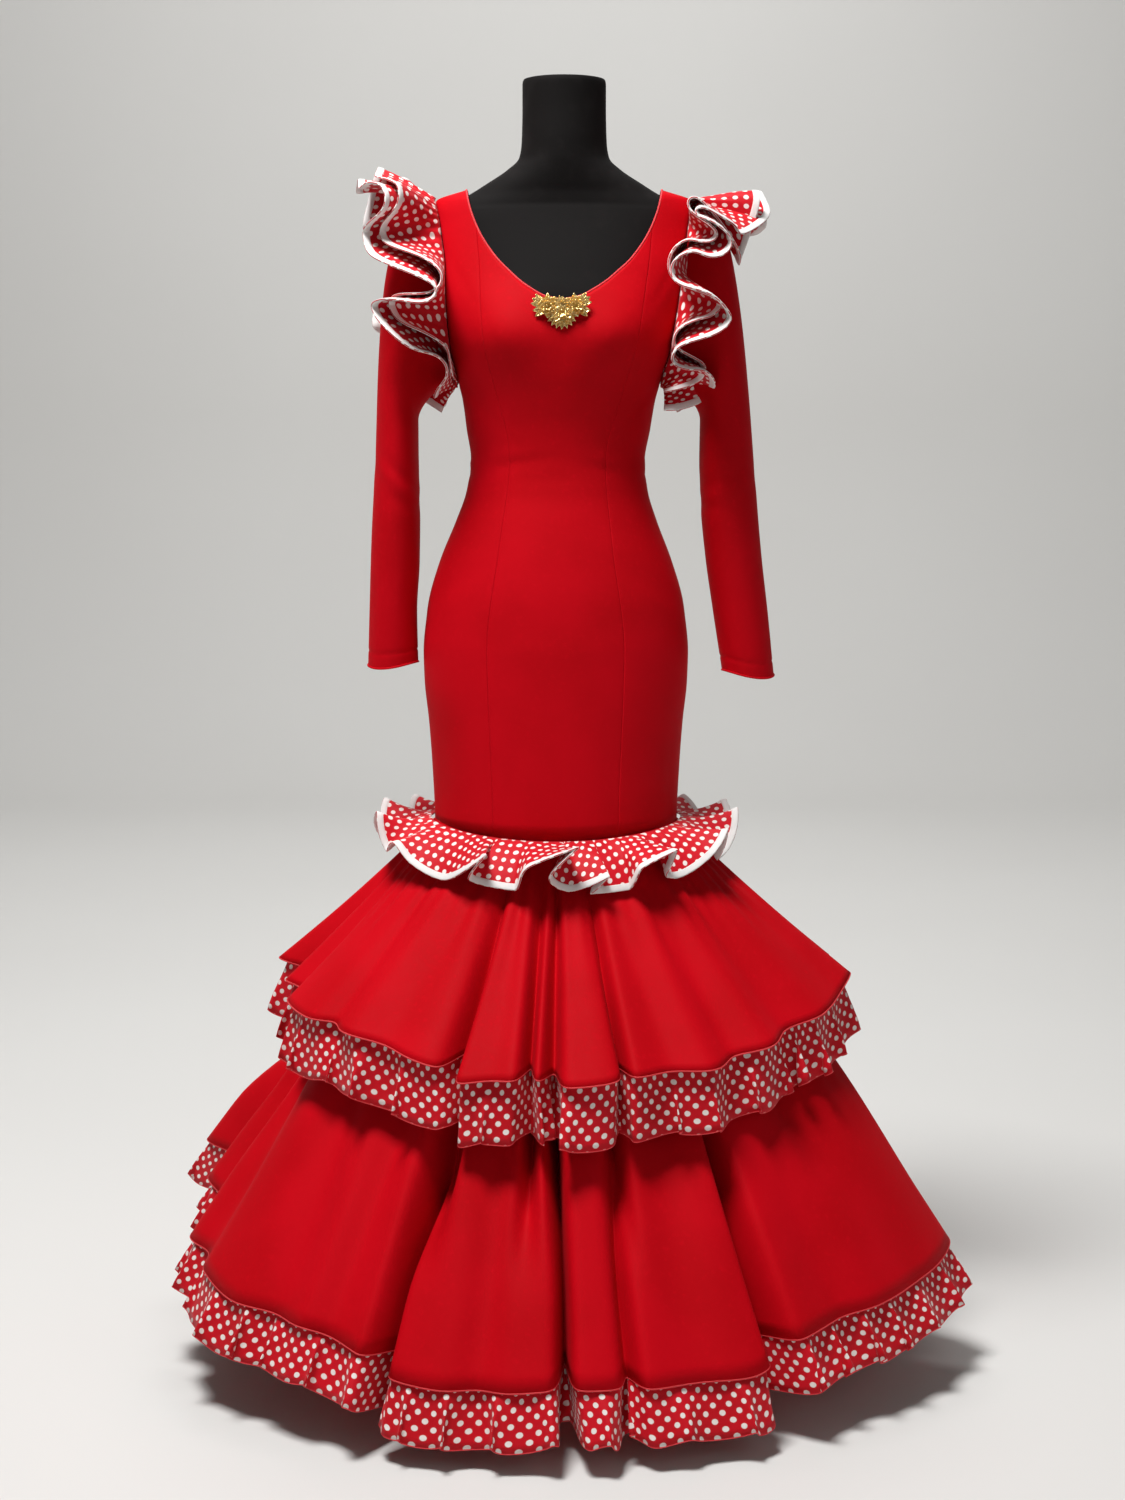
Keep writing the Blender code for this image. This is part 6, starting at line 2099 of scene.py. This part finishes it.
@dataclass(frozen=True)
class Studio:
    """Pale floor that curves up into a backdrop, soft lights and the camera."""

    finishes: Finishes
    eye: tuple[float, float, float] = (0.008, -3.0, 1.10)
    pitch: float = 7.0
    lens: float = 60.0
    floor_start: float = -8.0
    floor_end: float = 4.6
    curve: float = 1.2
    curve_rows: int = 16
    wall_top: float = 6.0
    half_width: float = 9.0
    columns: int = 9
    ambient: tuple[float, float, float, float] = (1.0, 0.985, 0.96, 1.0)
    ambient_strength: float = 0.11
    lamps: tuple[Lamp, ...] = (
        Lamp("key", 158.0, 1.0, (-0.70, -0.95, 3.9), (0.0, 0.0, 0.8)),
        Lamp("fill", 8.0, 2.0, (2.4, -2.6, 1.9), (0.0, 0.0, 0.8)),
        Lamp("back", 98.0, 2.4, (0.0, 2.6, 4.2), (0.0, 5.4, 0.6)),
    )

    def backdrop(self) -> None:
        """Make floor and wall as one sheet: flat, then a quarter circle, then upright."""
        turn = np.linspace(0.0, np.pi / 2, self.curve_rows)
        end = self.floor_end + self.curve
        y = np.concatenate([[self.floor_start, 0.0], self.floor_end + self.curve * np.sin(turn), [end]])
        z = np.concatenate([[0.0, 0.0], self.curve * (1 - np.cos(turn)), [self.wall_top]])
        x = np.linspace(-self.half_width, self.half_width, self.columns)[None, :]
        points = np.stack([x + 0 * y[:, None], y[:, None] + 0 * x, z[:, None] + 0 * x], -1)
        mesh = Weave(points, straight_cut(points, False)).mesh("studio_floor")
        mesh.materials.append(self.finishes.floor)
        obj = bpy.data.objects.new("studio_floor", mesh)
        bpy.context.scene.collection.objects.link(obj)

    def build(self) -> None:
        """Make the floor, the lights, the ambient light and the camera."""
        self.backdrop()
        for lamp in self.lamps:
            lamp.build()
        world = bpy.data.worlds.new("studio")
        world.use_nodes = True
        ambient = world.node_tree.nodes["Background"]
        ambient.inputs["Color"].default_value = self.ambient
        ambient.inputs["Strength"].default_value = self.ambient_strength
        bpy.context.scene.world = world
        data = bpy.data.cameras.new("camera")
        data.lens = self.lens
        camera = bpy.data.objects.new("camera", data)
        camera.location = self.eye
        camera.rotation_euler = (math.radians(90.0 - self.pitch), 0.0, 0.0)
        bpy.context.scene.collection.objects.link(camera)
        bpy.context.scene.camera = camera
        bpy.context.scene.view_settings.view_transform = "Standard"


def main() -> None:
    """Build every piece in order and report it."""
    logging.basicConfig(level=logging.INFO, format="%(message)s")
    finishes = Finishes()
    figure = Figure()
    for part in (
        DressForm(figure, finishes),
        Panels(figure, finishes),
        Sleeves(figure, finishes),
        ShoulderFrills(figure, finishes),
        ThighFrill(figure, finishes),
        Flounces(figure, finishes),
        BackZip(figure, finishes),
        FlowerBrooch(figure, finishes),
        Studio(finishes),
    ):
        part.build()
        LOG.info("built %s", type(part).__name__)


if __name__ == "__main__":
    main()
